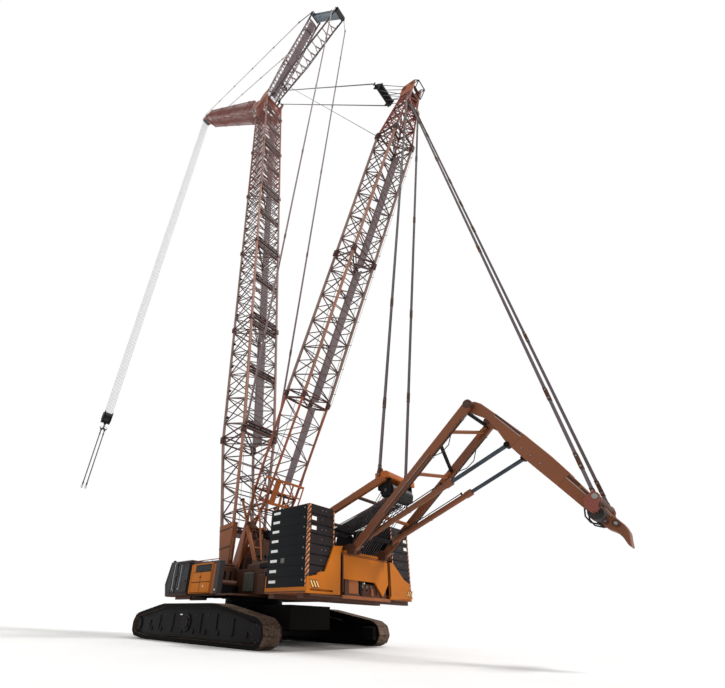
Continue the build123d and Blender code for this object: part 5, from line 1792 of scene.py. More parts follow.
@dataclass(frozen=True)
class Housings:
    """Housings beside the main frame: behind the cab, and the power pack on the other side."""

    floor: float = 0.230
    side: float = 0.384
    doors: int = 5

    def build(self) -> None:
        """Makes both housings."""
        piece("left_housing", self.left(), "superstructure", "housing_left")
        piece("right_housing", self.right(), "superstructure", "housing_right")

    def left(self) -> Shape:
        """The orange end with its doors, the dark valve end and the tank.

        Returns:
            The shape.
        """
        low, high, side = self.floor, 0.392, self.side
        shape = Shape(ORANGE).box((0.0, 0.176, low + 0.004), (0.139, side, high), 0.003)
        shape.box((-0.081, 0.350, low + 0.004), (0.004, side, high), 0.002)
        shape.box((0.122, side - 0.002, low + 0.01), (0.138, side + 0.001, high - 0.004), 0.0006)
        for x0, x1 in ((0.028, 0.118), (-0.076, 0.024)):
            for z0, z1 in ((0.240, 0.2905), (0.2945, 0.344)):
                shape.box((x0, side - 0.002, z0), (x1, side + 0.0012, z1), 0.0008)
        shape.use(PANE).box((-0.07, side - 0.002, 0.349), (0.085, side + 0.0012, 0.381), 0.001)
        shape.use(BLACK).box((-0.078, side - 0.001, 0.238), (0.12, side + 0.0002, 0.346))
        shape.box((-0.076, side - 0.002, 0.346), (0.09, side + 0.0006, 0.385), 0.001)
        for x in (0.02, 0.032):
            shape.box((x - 0.004, side, 0.315), (x + 0.004, side + 0.002, 0.321), 0.0005)
        for y in (0.20, 0.24, 0.28, 0.32):
            shape.box((-0.012, y, low + 0.02), (-0.007, y + 0.012, high - 0.03), 0.001)
        shape.box((-0.10, 0.20, low), (-0.02, 0.34, low + 0.055), 0.004)
        shape.tube((-0.21, 0.195, 0.348), (-0.21, 0.195, 0.36), 0.009, 14)
        shape.box((-0.58, 0.17, 0.36), (-0.32, 0.24, 0.385), 0.003)
        for x in row(-0.57, 0.035, 6):
            shape.box((x, 0.2355, 0.25), (x + 0.022, 0.2385, 0.34), 0.001)
        shape.use(LAMP).across(-0.012, 0.271, 0.0055, (side, side + 0.002))
        shape.across(-0.137, 0.250, 0.005, (side, side + 0.004), 12)
        shape.use(BROWN).box((-0.118, 0.352, low), (-0.081, side - 0.006, high - 0.004), 0.002)
        shape.use(GREY_DARK).box((-0.156, 0.352, low), (-0.118, side + 0.001, high + 0.006), 0.002)
        shape.use(BROWN_DARK).box((-0.008, 0.180, low), (0.0, 0.352, high - 0.004), 0.002)
        shape.across(-0.09, low + 0.06, 0.016, (0.22, 0.33))
        shape.box((-0.156, 0.176, low - 0.008), (0.400, 0.384, low), 0.002)
        shape.box((-0.59, 0.150, low), (0.0, 0.158, 0.375), 0.002)
        shape.box((-0.33, 0.158, low), (-0.158, 0.200, 0.392), 0.004)
        shape.wall(((0.158, 0.36), (0.172, 0.36), (0.172, 0.40), (0.158, 0.41)), (-0.33, -0.158))
        for x0, x1, z1 in ((-0.59, -0.36, 0.36), (-0.36, -0.31, 0.33)):
            shape.box((x0, 0.17, low), (x1, 0.236, z1), 0.003)
        shape.use(STRUT_PAINT).box((-0.004, 0.18, high), (0.139, side - 0.01, high + 0.012), 0.003)
        shape.box((-0.156, 0.350, high), (0.0, side - 0.01, high + 0.010), 0.002)
        shape.use(RED_BROWN)
        rail, top = side - 0.012, high + 0.018
        for x in (-0.14, -0.05, 0.04, 0.13):
            shape.tube((x, rail, high + 0.01), (x, rail, top), 0.0018, 6)
        shape.tube((-0.145, rail, top), (0.135, rail, top), 0.0026, 6)
        shape.use(TANK).box((-0.240, 0.176, low + 0.018), (-0.150, 0.214, 0.348), 0.004)
        for x in (-0.228, -0.1965, -0.165):
            shape.box((x - 0.003, 0.212, low + 0.022), (x + 0.003, 0.217, 0.344), 0.001)
        return shape

    def right(self) -> Shape:
        """The power pack's doors, grilles, handrail and exhaust.

        Returns:
            The shape.
        """
        low, high, side = self.floor, 0.410, self.side
        shape = Shape(ORANGE).on(Side.RIGHT)
        shape.box((-0.47, 0.176, low), (0.139, side, high), 0.004)
        for number in range(self.doors):
            x = -0.455 + number * 0.12
            shape.use(ORANGE).box((x, side, low + 0.012), (x + 0.108, side + 0.003, high - 0.02),
                                  0.0015)
            shape.use(BLACK).box((x - 0.008, side - 0.001, low + 0.008),
                                 (x - 0.004, side + 0.0008, high - 0.016))
            for z in row(low + 0.03, 0.014, 0 if number % 2 else 9):
                shape.box((x + 0.012, side + 0.002, z), (x + 0.096, side + 0.0045, z + 0.007),
                          0.0008)
            shape.box((x + 0.094, side + 0.002, low + 0.09), (x + 0.1, side + 0.006, low + 0.11),
                      0.001)
        shape.box((-0.478, 0.19, low + 0.02), (-0.469, side - 0.01, high - 0.02), 0.001)
        for z in row(low + 0.03, 0.014, 10):
            shape.box((-0.481, 0.2, z), (-0.476, side - 0.02, z + 0.006), 0.0008)
        y = side - 0.01
        for x in (-0.46, -0.31, -0.16, -0.01, 0.13):
            shape.tube((x, y, high), (x, y, high + 0.075), 0.0022, 6)
        for z in (high + 0.04, high + 0.075):
            shape.tube((-0.46, y, z), (0.13, y, z), 0.0022, 6)
        shape.use(SHEAVE).tube((-0.3, 0.25, high - 0.01), (-0.3, 0.25, high + 0.05), 0.012, 16)
        shape.use(BROWN_DARK).box((-0.47, 0.176, low - 0.008), (0.139, side, low), 0.002)
        return shape.use(GREY).box((-0.42, 0.21, high), (-0.34, 0.36, high + 0.02), 0.004)


@dataclass(frozen=True)
class CabDetail:
    """Rails, wiper, step, roof edge and lamps of the cab and its door."""

    side: float = 0.388

    def build(self) -> None:
        """Makes the fittings of the cab and the door."""
        shape, side = Shape(GREY_LIGHT), self.side
        rail = side + 0.010
        shape.tube((0.317, rail, 0.405), (0.314, rail, 0.262), 0.0024)
        for x in (0.300, 0.328):
            shape.tube((0.314, rail, 0.268), (x, side + 0.004, 0.250), 0.0022)
        shape.tube((0.317, rail, 0.404), (0.317, side - 0.01, 0.410), 0.0022)
        shape.use(STRUT_PAINT).box((0.146, 0.252, 0.4135), (0.392, side + 0.001, 0.4185), 0.001)
        shape.use(BROWN_DARK).box((0.147, 0.252, 0.2275), (0.40, side + 0.002, 0.2325), 0.001)
        for y in (0.265, 0.373):
            shape.use(LAMP).tube((0.386, y, 0.424), (0.394, y, 0.424), 0.006, 14)
            shape.use(BLACK).tube((0.374, y, 0.424), (0.387, y, 0.424), 0.0068, 14)
        shape.box((0.2655, side - 0.001, 0.236), (0.2725, side + 0.0015, 0.41), 0.001)
        shape.tube((0.424, 0.30, 0.30), (0.405, 0.325, 0.372), 0.0014, 6)
        shape.tube((0.425, 0.355, 0.30), (0.407, 0.335, 0.372), 0.0014, 6)
        for x in (0.30, 0.345):
            shape.box((x - 0.002, side + 0.001, 0.236), (x + 0.002, side + 0.002, 0.408))
        piece("cab_fittings", shape, "cab")
        door = Shape(GREY_LIGHT).tube((0.233, 0.3995, 0.392), (0.231, 0.3995, 0.268), 0.0018)
        for z in (0.392, 0.268):
            door.across(0.232, z, 0.0016, (0.392, 0.3995), 8)
        door.use(LAMP).across(0.245, 0.262, 0.0035, (0.393, 0.397), 12)
        door.use(BLACK).box((0.172, 0.3925, 0.300), (0.184, 0.3965, 0.305), 0.001)
        for z in (0.244, 0.402):
            door.box((0.158, 0.3925, z - 0.0015), (0.26, 0.3942, z + 0.0015))
        piece("cab_door_fittings", door, "cab_door")


@dataclass(frozen=True)
class Gantry:
    """Gantry with its two sheave blocks, the boom's backstops and the rope on the drums."""

    foot: Point = (-0.40, 0.12, 0.515)
    head: Point = (-1.095, 0.108, 0.757)
    stop_foot: Point = (-0.160, 0.146, 0.405)
    stop_head: Point = (0.048, 0.146, 0.815)
    drum: float = 0.078
    turns: int = 26

    def build(self) -> None:
        """Makes the gantry, the boom's backstops and the drums' rope."""
        self.build_backstops()
        self.build_arms()
        self.build_sheaves()
        self.build_windings()

    def build_arms(self) -> None:
        """Makes the arms and their posts, the head beam and the plates of both sheave blocks."""
        shape = Shape(BROWN).on(Side.BOTH)
        foot, head = Vector(self.foot), Vector(self.head)
        shape.beam(foot, head, 0.022, 0.038, 0.003)
        shape.profile(((-1.095, 0.765), (-1.04, 0.765), (-1.054, 0.802), (-1.084, 0.802)),
                      (0.111, 0.117), 0.001)
        shape.use(BROWN_DARK)
        shape.beam(foot + Vector((0.01, 0, 0.01)), (-0.446, 0.12, 0.29), 0.022, 0.03, 0.002)
        shape.beam(foot.lerp(head, 0.30), (-0.5, 0.12, 0.29), 0.016, 0.02, 0.002)
        shape.across(-0.40, 0.515, 0.022, (0.107, 0.134), 18)
        shape.profile(((-0.83, 0.30), (-0.73, 0.30), (-0.745, 0.372), (-0.815, 0.372)),
                      (0.078, 0.09), 0.002)
        shape.use(BLACK)
        for share in (0.2, 0.45, 0.7):
            spot = foot.lerp(head, share) + Vector((0, 0, 0.018))
            shape.tube(spot, spot + Vector((0, 0, 0.012)), 0.0016, 6)
        shape.profile(((-1.118, 0.662), (-1.062, 0.662), (-1.046, 0.75), (-1.118, 0.752)),
                      (0.094, 0.102), 0.002)
        shape.on().box((-1.05, -0.095, 0.70), (-1.035, 0.095, 0.75), 0.002)
        shape.use(GUARD).profile(((-1.125, 0.748), (-1.04, 0.752), (-1.04, 0.782),
                                  (-1.105, 0.786), (-1.125, 0.775)), (-0.122, 0.122), 0.003)
        shape.use(BROWN_DARK)
        for share in (0.35, 0.72):
            left = foot.lerp(head, share)
            shape.tube(left, flipped(left, -1), 0.009, 12)
        shape.across(-0.40, 0.515, 0.012, (-0.12, 0.12), 14)
        piece("gantry_beams", shape, "superstructure", "gantry")

    def build_backstops(self) -> None:
        """Makes the boom's backstops, the pipe frame round the derrick's foot and side plates."""
        shape = Shape(BROWN).on(Side.BOTH)
        foot, head = Vector(self.stop_foot), Vector(self.stop_head)
        neck, run = foot.lerp(head, 0.6), head - foot
        shape.tube(foot, neck, 0.0125, 14).tube(neck, head, 0.0085, 12)
        for start, end, radius in (((0.02, 0.395), (-0.055, 0.905), 0.0068),
                                   ((-0.10, 0.50), (0.0, 0.64), 0.0055),
                                   ((-0.015, 0.64), (-0.14, 0.70), 0.0055),
                                   ((-0.13, 0.72), (-0.05, 0.86), 0.0055),
                                   ((-0.20, 0.42), (-0.13, 0.74), 0.0060)):
            shape.tube((start[0], 0.135, start[1]), (end[0], 0.135, end[1]), radius, 10)
        shape.use(BROWN_DARK).tube(neck - run * 0.03, neck, 0.015, 14)
        shape.across(foot.x, foot.z, 0.017, (foot.y - 0.014, foot.y + 0.014))
        shape.box((foot.x - 0.016, foot.y - 0.012, 0.29), (foot.x + 0.016, foot.y + 0.012, foot.z),
                  0.002)
        shape.wall(((0.134, 0.62), (0.141, 0.62), (0.141, 0.66), (0.134, 0.66)), (-0.10, -0.02))
        shape.profile(((-0.01, 0.232), (0.25, 0.232), (0.235, 0.335), (0.205, 0.362), (0.03, 0.395),
                       (-0.01, 0.385)), (0.150, 0.158), 0.001)
        shape.use(BLACK).tube(head, head + run * 0.02, 0.014, 14)
        shape.across(BOOM.pivot.x, BOOM.pivot.z, 0.024, (0.157, 0.162), 20).on()
        shape.box((-0.15, -0.05, 0.565), (-0.09, 0.055, 0.61), 0.004)
        shape.use(BROWN)
        for x, z in ((-0.115, 0.50), (-0.01, 0.64), (-0.135, 0.74)):
            shape.across(x, z, 0.006, (0.135, -0.135), 10)
        shape.across(0.07, 0.49, 0.014, (-0.09, 0.09))
        shape.box((0.03, -0.06, 0.47), (0.09, 0.08, 0.53), 0.008)
        shape.use(BROWN_DARK).box((-0.135, -0.085, 0.455), (-0.065, 0.085, 0.56), 0.006)
        shape.box((0.02, -0.092, 0.30), (0.098, 0.092, 0.47), 0.006)
        shape.use(RUBBER)
        for y in row(-0.072, 0.024, 7):
            shape.tube((-0.137, y, 0.47), (-0.172, y * 1.2, 0.39), 0.0032, 6)
            shape.tube((-0.062, y, 0.55), (-0.01, y * 1.3, 0.46), 0.0030, 6)
        piece("boom_backstops", shape, "superstructure")

    def build_sheaves(self) -> None:
        """Makes the sheaves of the head and of the lower block."""
        shape = Shape(SHEAVE)
        for y in row(-0.08, 0.02, 9):
            shape.sheave((-1.088, y, 0.692), 0.041, 0.017, 24)
        for y in row(-0.066, 0.0189, 8):
            shape.sheave((-0.78, y, 0.345), 0.030, 0.016, 20)
        shape.across(-1.088, 0.692, 0.008, (-0.104, 0.104), 14)
        shape.across(-0.78, 0.345, 0.007, (-0.092, 0.092), 14)
        piece("gantry_sheave_nests", shape, "superstructure", "gantry_sheaves")

    def build_windings(self) -> None:
        """Makes the rope on the three drums, in one layer of turns each, and their bolts."""
        shape = Shape(DARK_ROPE)
        for x, z, radius in ((-0.12, 0.362, 0.043), (-0.255, 0.362, 0.043), (-0.66, 0.38, 0.047)):
            outline = [(radius - 0.004, -self.drum), (radius, -self.drum)]
            for y in row(-self.drum, 0.006, self.turns):
                outline += [(radius + 0.0022, y + 0.003), (radius, y + 0.006)]
            outline.append((radius - 0.004, self.drum))
            shape.use(DARK_ROPE).turned(outline, (x, 0, z), 28)
            shape.use(BOLT).on(Side.BOTH)
            for angle in ring(8):
                shape.across(x + 0.034 * cos(angle), z + 0.034 * sin(angle), 0.0022,
                             (0.0985, 0.1015), 6)
            shape.on()
        shape.use(BLACK).on(Side.BOTH)
        for x in (-0.56, -0.72):
            shape.beam((x, 0.11, 0.30), (x, 0.11, 0.55), 0.012, 0.018, 0.001)
        shape.beam((-0.55, 0.11, 0.556), (-0.73, 0.11, 0.556), 0.012, 0.014, 0.001).on()
        for x in (-0.56, -0.72):
            shape.across(x, 0.55, 0.006, (-0.11, 0.11), 8)
        piece("drum_windings", shape, "superstructure")


@dataclass(frozen=True)
class Superlift:
    """Folding superlift frame: braces of its rails, the arm, both cylinders and the pendants."""

    arm: Mast = Mast(SUPERLIFT_TOP, -124.5)
    eye: Point = (-1.70, 0.0, 0.770)
    cylinder_y: float = 0.100
    barrel: float = 0.505
    leg_y: float = 0.097
    box_y: float = 0.030
    pin: Point = (0.030, 0.607)

    def build(self) -> None:
        """Makes the frame's fittings, the arm, the cylinders and the pendants."""
        self.build_frame()
        self.build_arm()
        self.build_cylinders()
        self.build_pendants()

    def build_frame(self) -> None:
        """Makes the rails, cross tubes and braces between them, and the hoses along them."""
        length = (SUPERLIFT_TOP - SUPERLIFT_FOOT).length
        rail = symmetric(((0.014, -0.014), (0.020, 0.060), (0.020, length - 0.010),
                          (0.014, length + 0.016)))
        rails = Shape(SUPERLIFT_PAINT).on(Side.BOTH).profile(rail, (0.118, 0.142), 0.002)
        rails.use(BROWN_DARK).box((-0.018, 0.1415, 0.25), (-0.009, 0.1428, 0.60))
        rails.use(GREY_LIGHT).box((-0.009, 0.1415, 0.25), (-0.0075, 0.1428, 0.60))
        shape = rails.placed(RAIL.matrix())
        for finish, near, far in ((BROWN, 0.734, 0.830), (BROWN, 0.485, 0.544),
                                  (BLACK, 0.856, 0.866), (BROWN, 0.22, 0.22),
                                  (BLACK, 0.672, 0.577)):
            ends = RAIL.point(0, 0.122, near), RAIL.point(0, -0.122, far)
            shape.use(finish).hose(ends, 0.009, 12)
        shape.across(CYLINDER_BASE.x, CYLINDER_BASE.z, 0.009, (-0.118, 0.118), 14)
        shape.use(BROWN)
        for side, places in ((Side.LEFT, (0.485, 0.734)), (Side.RIGHT, (0.544, 0.830))):
            for s in places:
                for reach in (-0.04, 0.04):
                    shape.on(side).beam(RAIL.point(0, 0.120, s + reach), RAIL.point(0, 0.092, s),
                                        0.010, 0.008)
        spots = [RAIL.point(-0.024, 0.128, s) for s in (0.05, 0.3, 0.6, 0.82)]
        bow = [RAIL.point(x, 0.131, s) for x, s in
               ((-0.022, 0.60), (-0.046, 0.64), (-0.050, 0.69), (-0.022, 0.74))]
        shape.use(RUBBER).on(Side.BOTH).hose(spots, 0.0028).hose(bow, 0.0024)
        for spot in spots:
            shape.use(BOLT).across(spot.x, spot.z, 0.0045, (0.123, 0.133), 8)
        for end in (SUPERLIFT_FOOT, SUPERLIFT_TOP):
            shape.use(BROWN_DARK).across(end.x, end.z, 0.021, (0.117, 0.1445), 18)
            shape.use(BOLT_DARK).across(end.x, end.z, 0.009, (0.144, 0.1462), 12)
        shape.use(DARK_ROPE).on().tube(RAIL.point(0.03, 0.05, 0.1), RAIL.point(0.01, 0.07, 0.86),
                                       0.0016, 5)
        piece("superlift_rails", shape, "superlift_frame", "superlift_frame")

    def add_legs(self, shape: Shape) -> None:
        """Adds the arm's legs: straight at the pin, then leaning in to the box.

        Args:
            shape: The arm.
        """
        upper = ((-0.020, 0.020), (-0.022, -0.008), (-0.010, -0.022), (0.012, -0.022),
                 (0.030, 0.0), (0.040, 0.03), (0.046, 0.15), (0.050, 0.271), (-0.023, 0.271),
                 (-0.019, 0.231), (-0.004, 0.165), (0.004, 0.095))
        lower = ((-0.023, 0.27), (0.050, 0.27), (0.049, 0.392), (0.043, 0.470), (-0.024, 0.470),
                 (-0.025, 0.302))
        skew = Shape(SUPERLIFT_PAINT).profile(lower, (-0.013, 0.013), 0.002)
        middle, lean = self.leg_y, (self.box_y - 0.012 - self.leg_y) / 0.2
        for sign in (1, -1):
            shape.add(skew, Matrix(((1, 0, 0, 0), (0, 1, sign * lean, sign * (middle - lean * 0.27)),
                                    (0, 0, 1, 0), (0, 0, 0, 1))))
        shape.on(Side.BOTH).profile(upper, (middle - 0.013, middle + 0.013), 0.003)
        shape.use(BROWN_DARK).across(0, 0, 0.019, (middle - 0.016, middle + 0.016), 20)
        shape.box((0.036, middle + 0.0125, 0.12), (0.045, middle + 0.0142, 0.26))
        shape.use(GREY_LIGHT).box((0.033, middle + 0.0125, 0.12), (0.0352, middle + 0.0142, 0.27))
        shape.use(BOLT).across(0, 0, 0.010, (middle, middle + 0.019), 12)
        for s in (0.30, 0.34, 0.38):
            y = middle + 0.012 - (s - 0.27) * 0.395
            shape.across(0, s, 0.003, (y, y + 0.004), 8)
        eye = self.arm.matrix().inverted() @ Vector(self.eye)
        shape.use(BLACK).across(eye.x, eye.z, 0.012, (0.082, 0.1125))

    def build_arm(self) -> None:
        """Makes the arm: two legs, the box that they run into, its horn, lugs and pins."""
        shape = Shape(SUPERLIFT_PAINT)
        self.add_legs(shape)
        box = ((-0.024, 0.44), (0.044, 0.44), (0.038, 0.50), (0.021, 0.651), (0.021, 0.699),
               (0.012, 0.722), (-0.004, 0.738), (-0.020, 0.757), (-0.024, 0.750),
               (-0.015, 0.722), (-0.014, 0.700), (-0.026, 0.672), (-0.024, 0.64))
        lug = ((-0.020, 0.612), (0.0, 0.588), (0.040, 0.590), (0.046, 0.606), (0.036, 0.622),
               (0.0, 0.640), (-0.018, 0.632))
        hose = ((-0.024, 0.585), (-0.043, 0.605), (-0.047, 0.630), (-0.030, 0.655))
        half, skin = self.box_y, self.box_y + 0.0008
        shape.use(BROWN_DARK).box((0.024, half, 0.46), (0.036, half + 0.0012, 0.52))
        shape.box((0.019, half, 0.53), (0.027, half + 0.0012, 0.60))
        shape.use(GREY_LIGHT).beam((0.0215, skin, 0.45), (0.0145, skin, 0.655), 0.0016, 0.0022)
        for y in (0.107, 0.127):
            shape.use(RED_BROWN).profile(lug, (y, y + 0.006), 0.0008)
        shape.use(BOLT).across(*self.pin, 0.0095, (0.104, 0.136), 14)
        for x, s in ((-0.012, 0.655), (0.006, 0.682)):
            shape.use(BROWN_DARK).across(x, s, 0.011, (0.028, 0.040), 14)
            shape.use(BOLT).across(x, s, 0.006, (0.038, 0.043), 10)
        shape.use(RUBBER).hose([(x, half, s) for x, s in hose], 0.0028)
        shape.on().use(SUPERLIFT_PAINT).profile(box, (-half, half), 0.003)
        shape.use(BROWN_DARK).across(*self.pin, 0.013, (-0.108, 0.108), 18)
        shape.box((-0.018, -0.108, 0.598), (0.018, 0.108, 0.632), 0.003)
        shape.across(0.012, 0.17, 0.010, (-0.09, 0.09), 12)
        for y in (-0.07, -0.05, 0.05, 0.07):
            shape.sheave((-0.010, y, 0.630), 0.026, 0.014, 20)
        piece("superlift_arm_plates", shape.placed(self.arm.matrix()), "superlift_arm",
              "superlift_arm")

    def build_cylinders(self) -> None:
        """Makes the barrels with their collars and ports, and the rods with their eyes."""
        line, y = leaning(CYLINDER_BASE, Vector(self.eye)), self.cylinder_y
        length = (Vector(self.eye) - CYLINDER_BASE).length
        barrels = Shape(SUPERLIFT_PAINT).on(Side.BOTH)
        middle, port = self.barrel * 0.5, self.barrel - 0.05
        for first, last, radius in ((0.0, self.barrel, 0.0130), (0.04, 0.06, 0.0150),
                                    (self.barrel - 0.034, self.barrel, 0.0158),
                                    (middle, middle + 0.008, 0.0146)):
            barrels.tube(line.point(0, y, first), line.point(0, y, last), radius, 20)
        barrels.use(BROWN_DARK).across(CYLINDER_BASE.x, CYLINDER_BASE.z, 0.016,
                                       (y - 0.013, y + 0.013), 18)
        for s in (0.07, port):
            barrels.use(BLACK).tube(line.point(0.012, y, s), line.point(0.024, y, s), 0.005, 10)
        barrels.use(RUBBER).tube(line.point(0.021, y, 0.07), line.point(0.021, y, port), 0.0024, 6)
        rods = Shape(CHROME).on(Side.BOTH)
        rods.tube(line.point(0, y, 0.2), line.point(0, y, length), 0.0088, 18)
        rods.use(BROWN_DARK).across(self.eye[0], self.eye[2], 0.012, (y - 0.006, y + 0.006), 18)
        piece("superlift_cylinder_barrels", barrels, "superlift_barrels",
              "superlift_barrels")
        piece("superlift_cylinder_rods", rods, "superlift_rods", "superlift_rods")

    def build_pendants(self) -> None:
        """Makes the pendants from the derrick's head to the arm."""
        shape = Shape(PENDANT)
        for sign, shares in ((1, (0.122, 0.30, 0.60, 0.878, 0.962)),
                             (-1, (0.118, 0.322, 0.405, 0.488, 0.75, 0.975))):
            Pendants().run(shape, DERRICK.point(-0.092, sign * 0.060, 3.958),
                           self.arm.point(self.pin[0], sign * 0.120, self.pin[1]), shares)
        piece("superlift_pendant_links", shape, "superlift_pendants",
              "superlift_pendants")


@dataclass(frozen=True)
class Undercarriage:
    """Fittings of both tracks' frames: roller guards, ribs, caps, pads and travel drives."""

    middle: float = 0.416
    half: float = 0.034
    bolts: int = 36

    def build(self) -> None:
        """Makes the fittings of both sides and of the middle part."""
        shape = Shape(BLACK).on(Side.BOTH)
        self.add_track_frames(shape)
        self.add_carbody(shape)
        piece("undercarriage_fittings", shape, "undercarriage")

    def add_track_frames(self, shape: Shape) -> None:
        """Adds the guards, ribs, caps, pads and bolts of the track frames.

        Args:
            shape: The shape that they join.
        """
        middle, skin = self.middle, self.middle + self.half
        guard = ((-0.575, 0.022), (0.47, 0.022), (0.47, 0.07), (0.43, 0.088), (-0.52, 0.088),
                 (-0.575, 0.07))
        web = ((-0.622, 0.026), (-0.648, 0.040), (-0.656, 0.065), (-0.640, 0.092),
               (-0.290, 0.168), (0.250, 0.168), (0.545, 0.108), (0.560, 0.076), (0.545, 0.044),
               (0.520, 0.036), (0.390, 0.026))
        for sign in (1, -1):
            shape.profile(guard, (middle + sign * 0.027, middle + sign * 0.033), 0.001)
            shape.profile(web, (middle + sign * 0.026, middle + sign * 0.0335), 0.001)
        for x, z0, z1 in ((-0.44, 0.048, 0.118), (-0.30, 0.048, 0.136), (-0.16, 0.048, 0.136),
                          (0.12, 0.048, 0.136), (0.27, 0.048, 0.124), (0.38, 0.048, 0.098)):
            shape.box((x - 0.003, skin, z0), (x + 0.003, skin + 0.004, z1), 0.0008)
        for x in row(-0.54, 0.1125, 9):
            shape.across(x, 0.055, 0.012, (skin - 0.001, skin + 0.004), 12)
        shape.box((-0.66, middle - 0.078, 0.03), (-0.585, middle - self.half, 0.095), 0.006)
        for x, z, radius, depth in ((-0.618, 0.062, 0.040, 0.006), (0.522, 0.074, 0.034, 0.006),
                                    (-0.02, 0.092, 0.042, 0.006), (-0.02, 0.092, 0.026, 0.010)):
            top = skin + depth
            shape.use(BLACK).across(x, z, radius, (skin - 0.008, top), 24)
            for angle in ring(8):
                shape.use(BOLT_DARK).across(x + 0.8 * radius * cos(angle),
                                            z + 0.8 * radius * sin(angle), 0.0022,
                                            (top, top + 0.002), 6)
        for x in (-0.40, -0.34, -0.22, -0.10, 0.08, 0.16, 0.22, 0.33):
            shape.across(x, 0.128 if abs(x) < 0.3 else 0.10, 0.0024, (skin, skin + 0.003), 6)
        for x in (0.046, -0.022):
            shape.use(WHITE).box((x - 0.012, skin, 0.126), (x + 0.012, skin + 0.0012, 0.131), 0.0005)

    def add_carbody(self, shape: Shape) -> None:
        """Adds ladders, hose bundles and the slewing ring's bolts.

        Args:
            shape: The shape that they join.
        """
        shape.use(CARBODY)
        for x in (-0.215, 0.215):
            for z in (0.085, 0.11, 0.135):
                shape.across(x, z, 0.003, (0.24, 0.30), 6)
            for y in (0.24, 0.30):
                shape.tube((x, y, 0.07), (x, y, 0.15), 0.003, 6)
        shape.use(RUBBER).hose(((-0.16, 0.16, 0.178), (-0.22, 0.22, 0.174), (-0.30, 0.30, 0.15),
                                (-0.42, 0.352, 0.12)), 0.0035)
        shape.use(BOLT_DARK).on()
        for angle in ring(self.bolts):
            x, y = 0.165 * cos(angle), 0.165 * sin(angle)
            shape.tube((x, y, 0.186), (x, y, 0.198), 0.0025, 6)


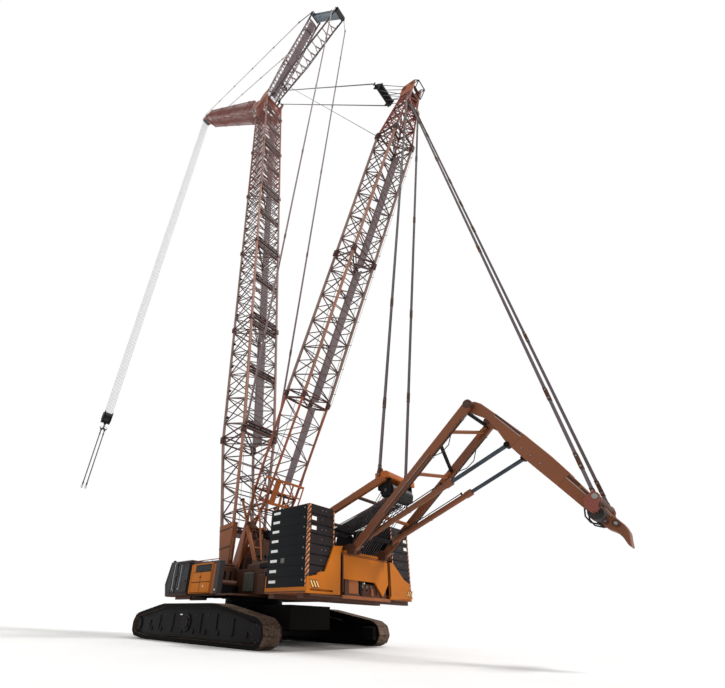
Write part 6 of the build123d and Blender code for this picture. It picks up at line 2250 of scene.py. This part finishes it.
# ------------------------------------------------------------------------------- studio
@dataclass(frozen=True)
class Studio:
    """Plain floor, soft light and the camera at the machine's corner, low on the ground."""

    floor_radius: float = 60.0
    world_light: float = 0.62
    sun_light: float = 2.1
    sun_angle: float = 12.0
    camera_at: Point = (-2.1684, 1.7015, 0.1231)
    yaw: float = -46.577
    pitch: float = 29.525
    roll: float = 1.576
    lens: float = 19.31
    shift: Point = (0.0518, 0.0761)

    def build(self) -> None:
        """Makes the floor, the world, the sun and the camera."""
        self.build_world()
        self.build_floor()
        self.build_sun()
        self.build_camera()
        bpy.context.scene.view_settings.view_transform = "Standard"

    def build_world(self) -> None:
        """White background, with a soft light from all sides for the object."""
        world = bpy.data.worlds.new("studio")
        world.use_nodes = True
        bpy.context.scene.world = world
        nodes = Nodes(world.node_tree)
        path = nodes.add("LightPath").outputs
        shown = nodes.maths("MAXIMUM", path["Is Camera Ray"], path["Is Glossy Ray"])
        shown = nodes.maths("MAXIMUM", shown, path["Is Transmission Ray"])
        nodes.feed(world.node_tree.nodes["Background"],
                   {"Color": (1.0, 1.0, 1.0, 1.0),
                    "Strength": nodes.spread(shown, 0.0, 1.0, self.world_light, 1.0)})

    def build_floor(self) -> None:
        """Pale floor under the tracks, which keeps the object's shadow."""
        mesh = bmesh.new()
        bmesh.ops.create_circle(mesh, cap_ends=True, segments=64, radius=self.floor_radius)
        data = bpy.data.meshes.new("floor")
        mesh.to_mesh(data)
        mesh.free()
        data.materials.append(Floor("pale floor").material())
        floor = bpy.data.objects.new("floor", data)
        bpy.context.scene.collection.objects.link(floor)

    def build_sun(self) -> None:
        """Soft sun from the camera's left, high up."""
        lamp = bpy.data.lights.new("sun", "SUN")
        lamp.energy = self.sun_light
        lamp.angle = radians(self.sun_angle)
        sun = bpy.data.objects.new("sun", lamp)
        towards = Vector((-0.55, -0.25, 0.8))
        sun.matrix_world = towards.to_track_quat("Z", "Y").to_matrix().to_4x4()
        bpy.context.scene.collection.objects.link(sun)

    def build_camera(self) -> None:
        """Camera that looks up at the crane from its rear left."""
        yaw, pitch, roll = (radians(value) for value in (self.yaw, self.pitch, self.roll))
        ahead = Vector((cos(pitch) * cos(yaw), cos(pitch) * sin(yaw), sin(pitch)))
        right = Vector((sin(yaw), -cos(yaw), 0))
        up = right.cross(ahead)
        columns = (right * cos(roll) + up * sin(roll), up * cos(roll) - right * sin(roll), -ahead)
        camera = bpy.data.cameras.new("camera")
        camera.lens = self.lens
        camera.shift_x, camera.shift_y = self.shift
        camera.clip_start, camera.clip_end = 0.02, 300.0
        made = bpy.data.objects.new("camera", camera)
        turn = Matrix(columns).transposed().to_4x4()
        made.matrix_world = Matrix.Translation(Vector(self.camera_at)) @ turn
        bpy.context.scene.collection.objects.link(made)
        bpy.context.scene.camera = made


def dress_nodes() -> None:
    """Gives the CAD nodes that stay in view their finishes."""
    dress(CARBODY, "carbody", "centre_ballast")
    dress(BLACK, "crawler_frame_left", "crawler_frame_right", "slewing_ring", "winches",
          "luffing_block")
    dress(BROWN_DARK, "main_frame")
    dress(LINK, "track_wheels_left", "track_wheels_right")
    dress(SHOE, "track_left", "track_right")
    dress(ORANGE, "counterweight_trays", "rear_panels")
    dress(SHEAVE, "derrick_luffing_sheaves", "rear_strut_sheaves", "front_strut_sheaves",
          "tip_sheaves", "hoist_rope_guide")
    dress(PENDANT, "boom_stays")
    dress(CAB_DARK, "cab_shell", "cab_door")
    dress(PANE, "cab_glass", "cab_door_glass")
    dress(TRIM, "cab_interior")


def main() -> None:
    """Builds the scene in order."""
    logging.basicConfig(level=logging.INFO, format="%(message)s")
    Studio().build()
    dress_nodes()
    for assembly in (MainBoom(), DerrickMast(), LuffingJib(), Struts(), Pendants(), Ropes(),
                     HookGear(), Counterweights(), Housings(), CabDetail(), Gantry(), Superlift(),
                     Undercarriage()):
        assembly.build()


if __name__ == "__main__":
    main()
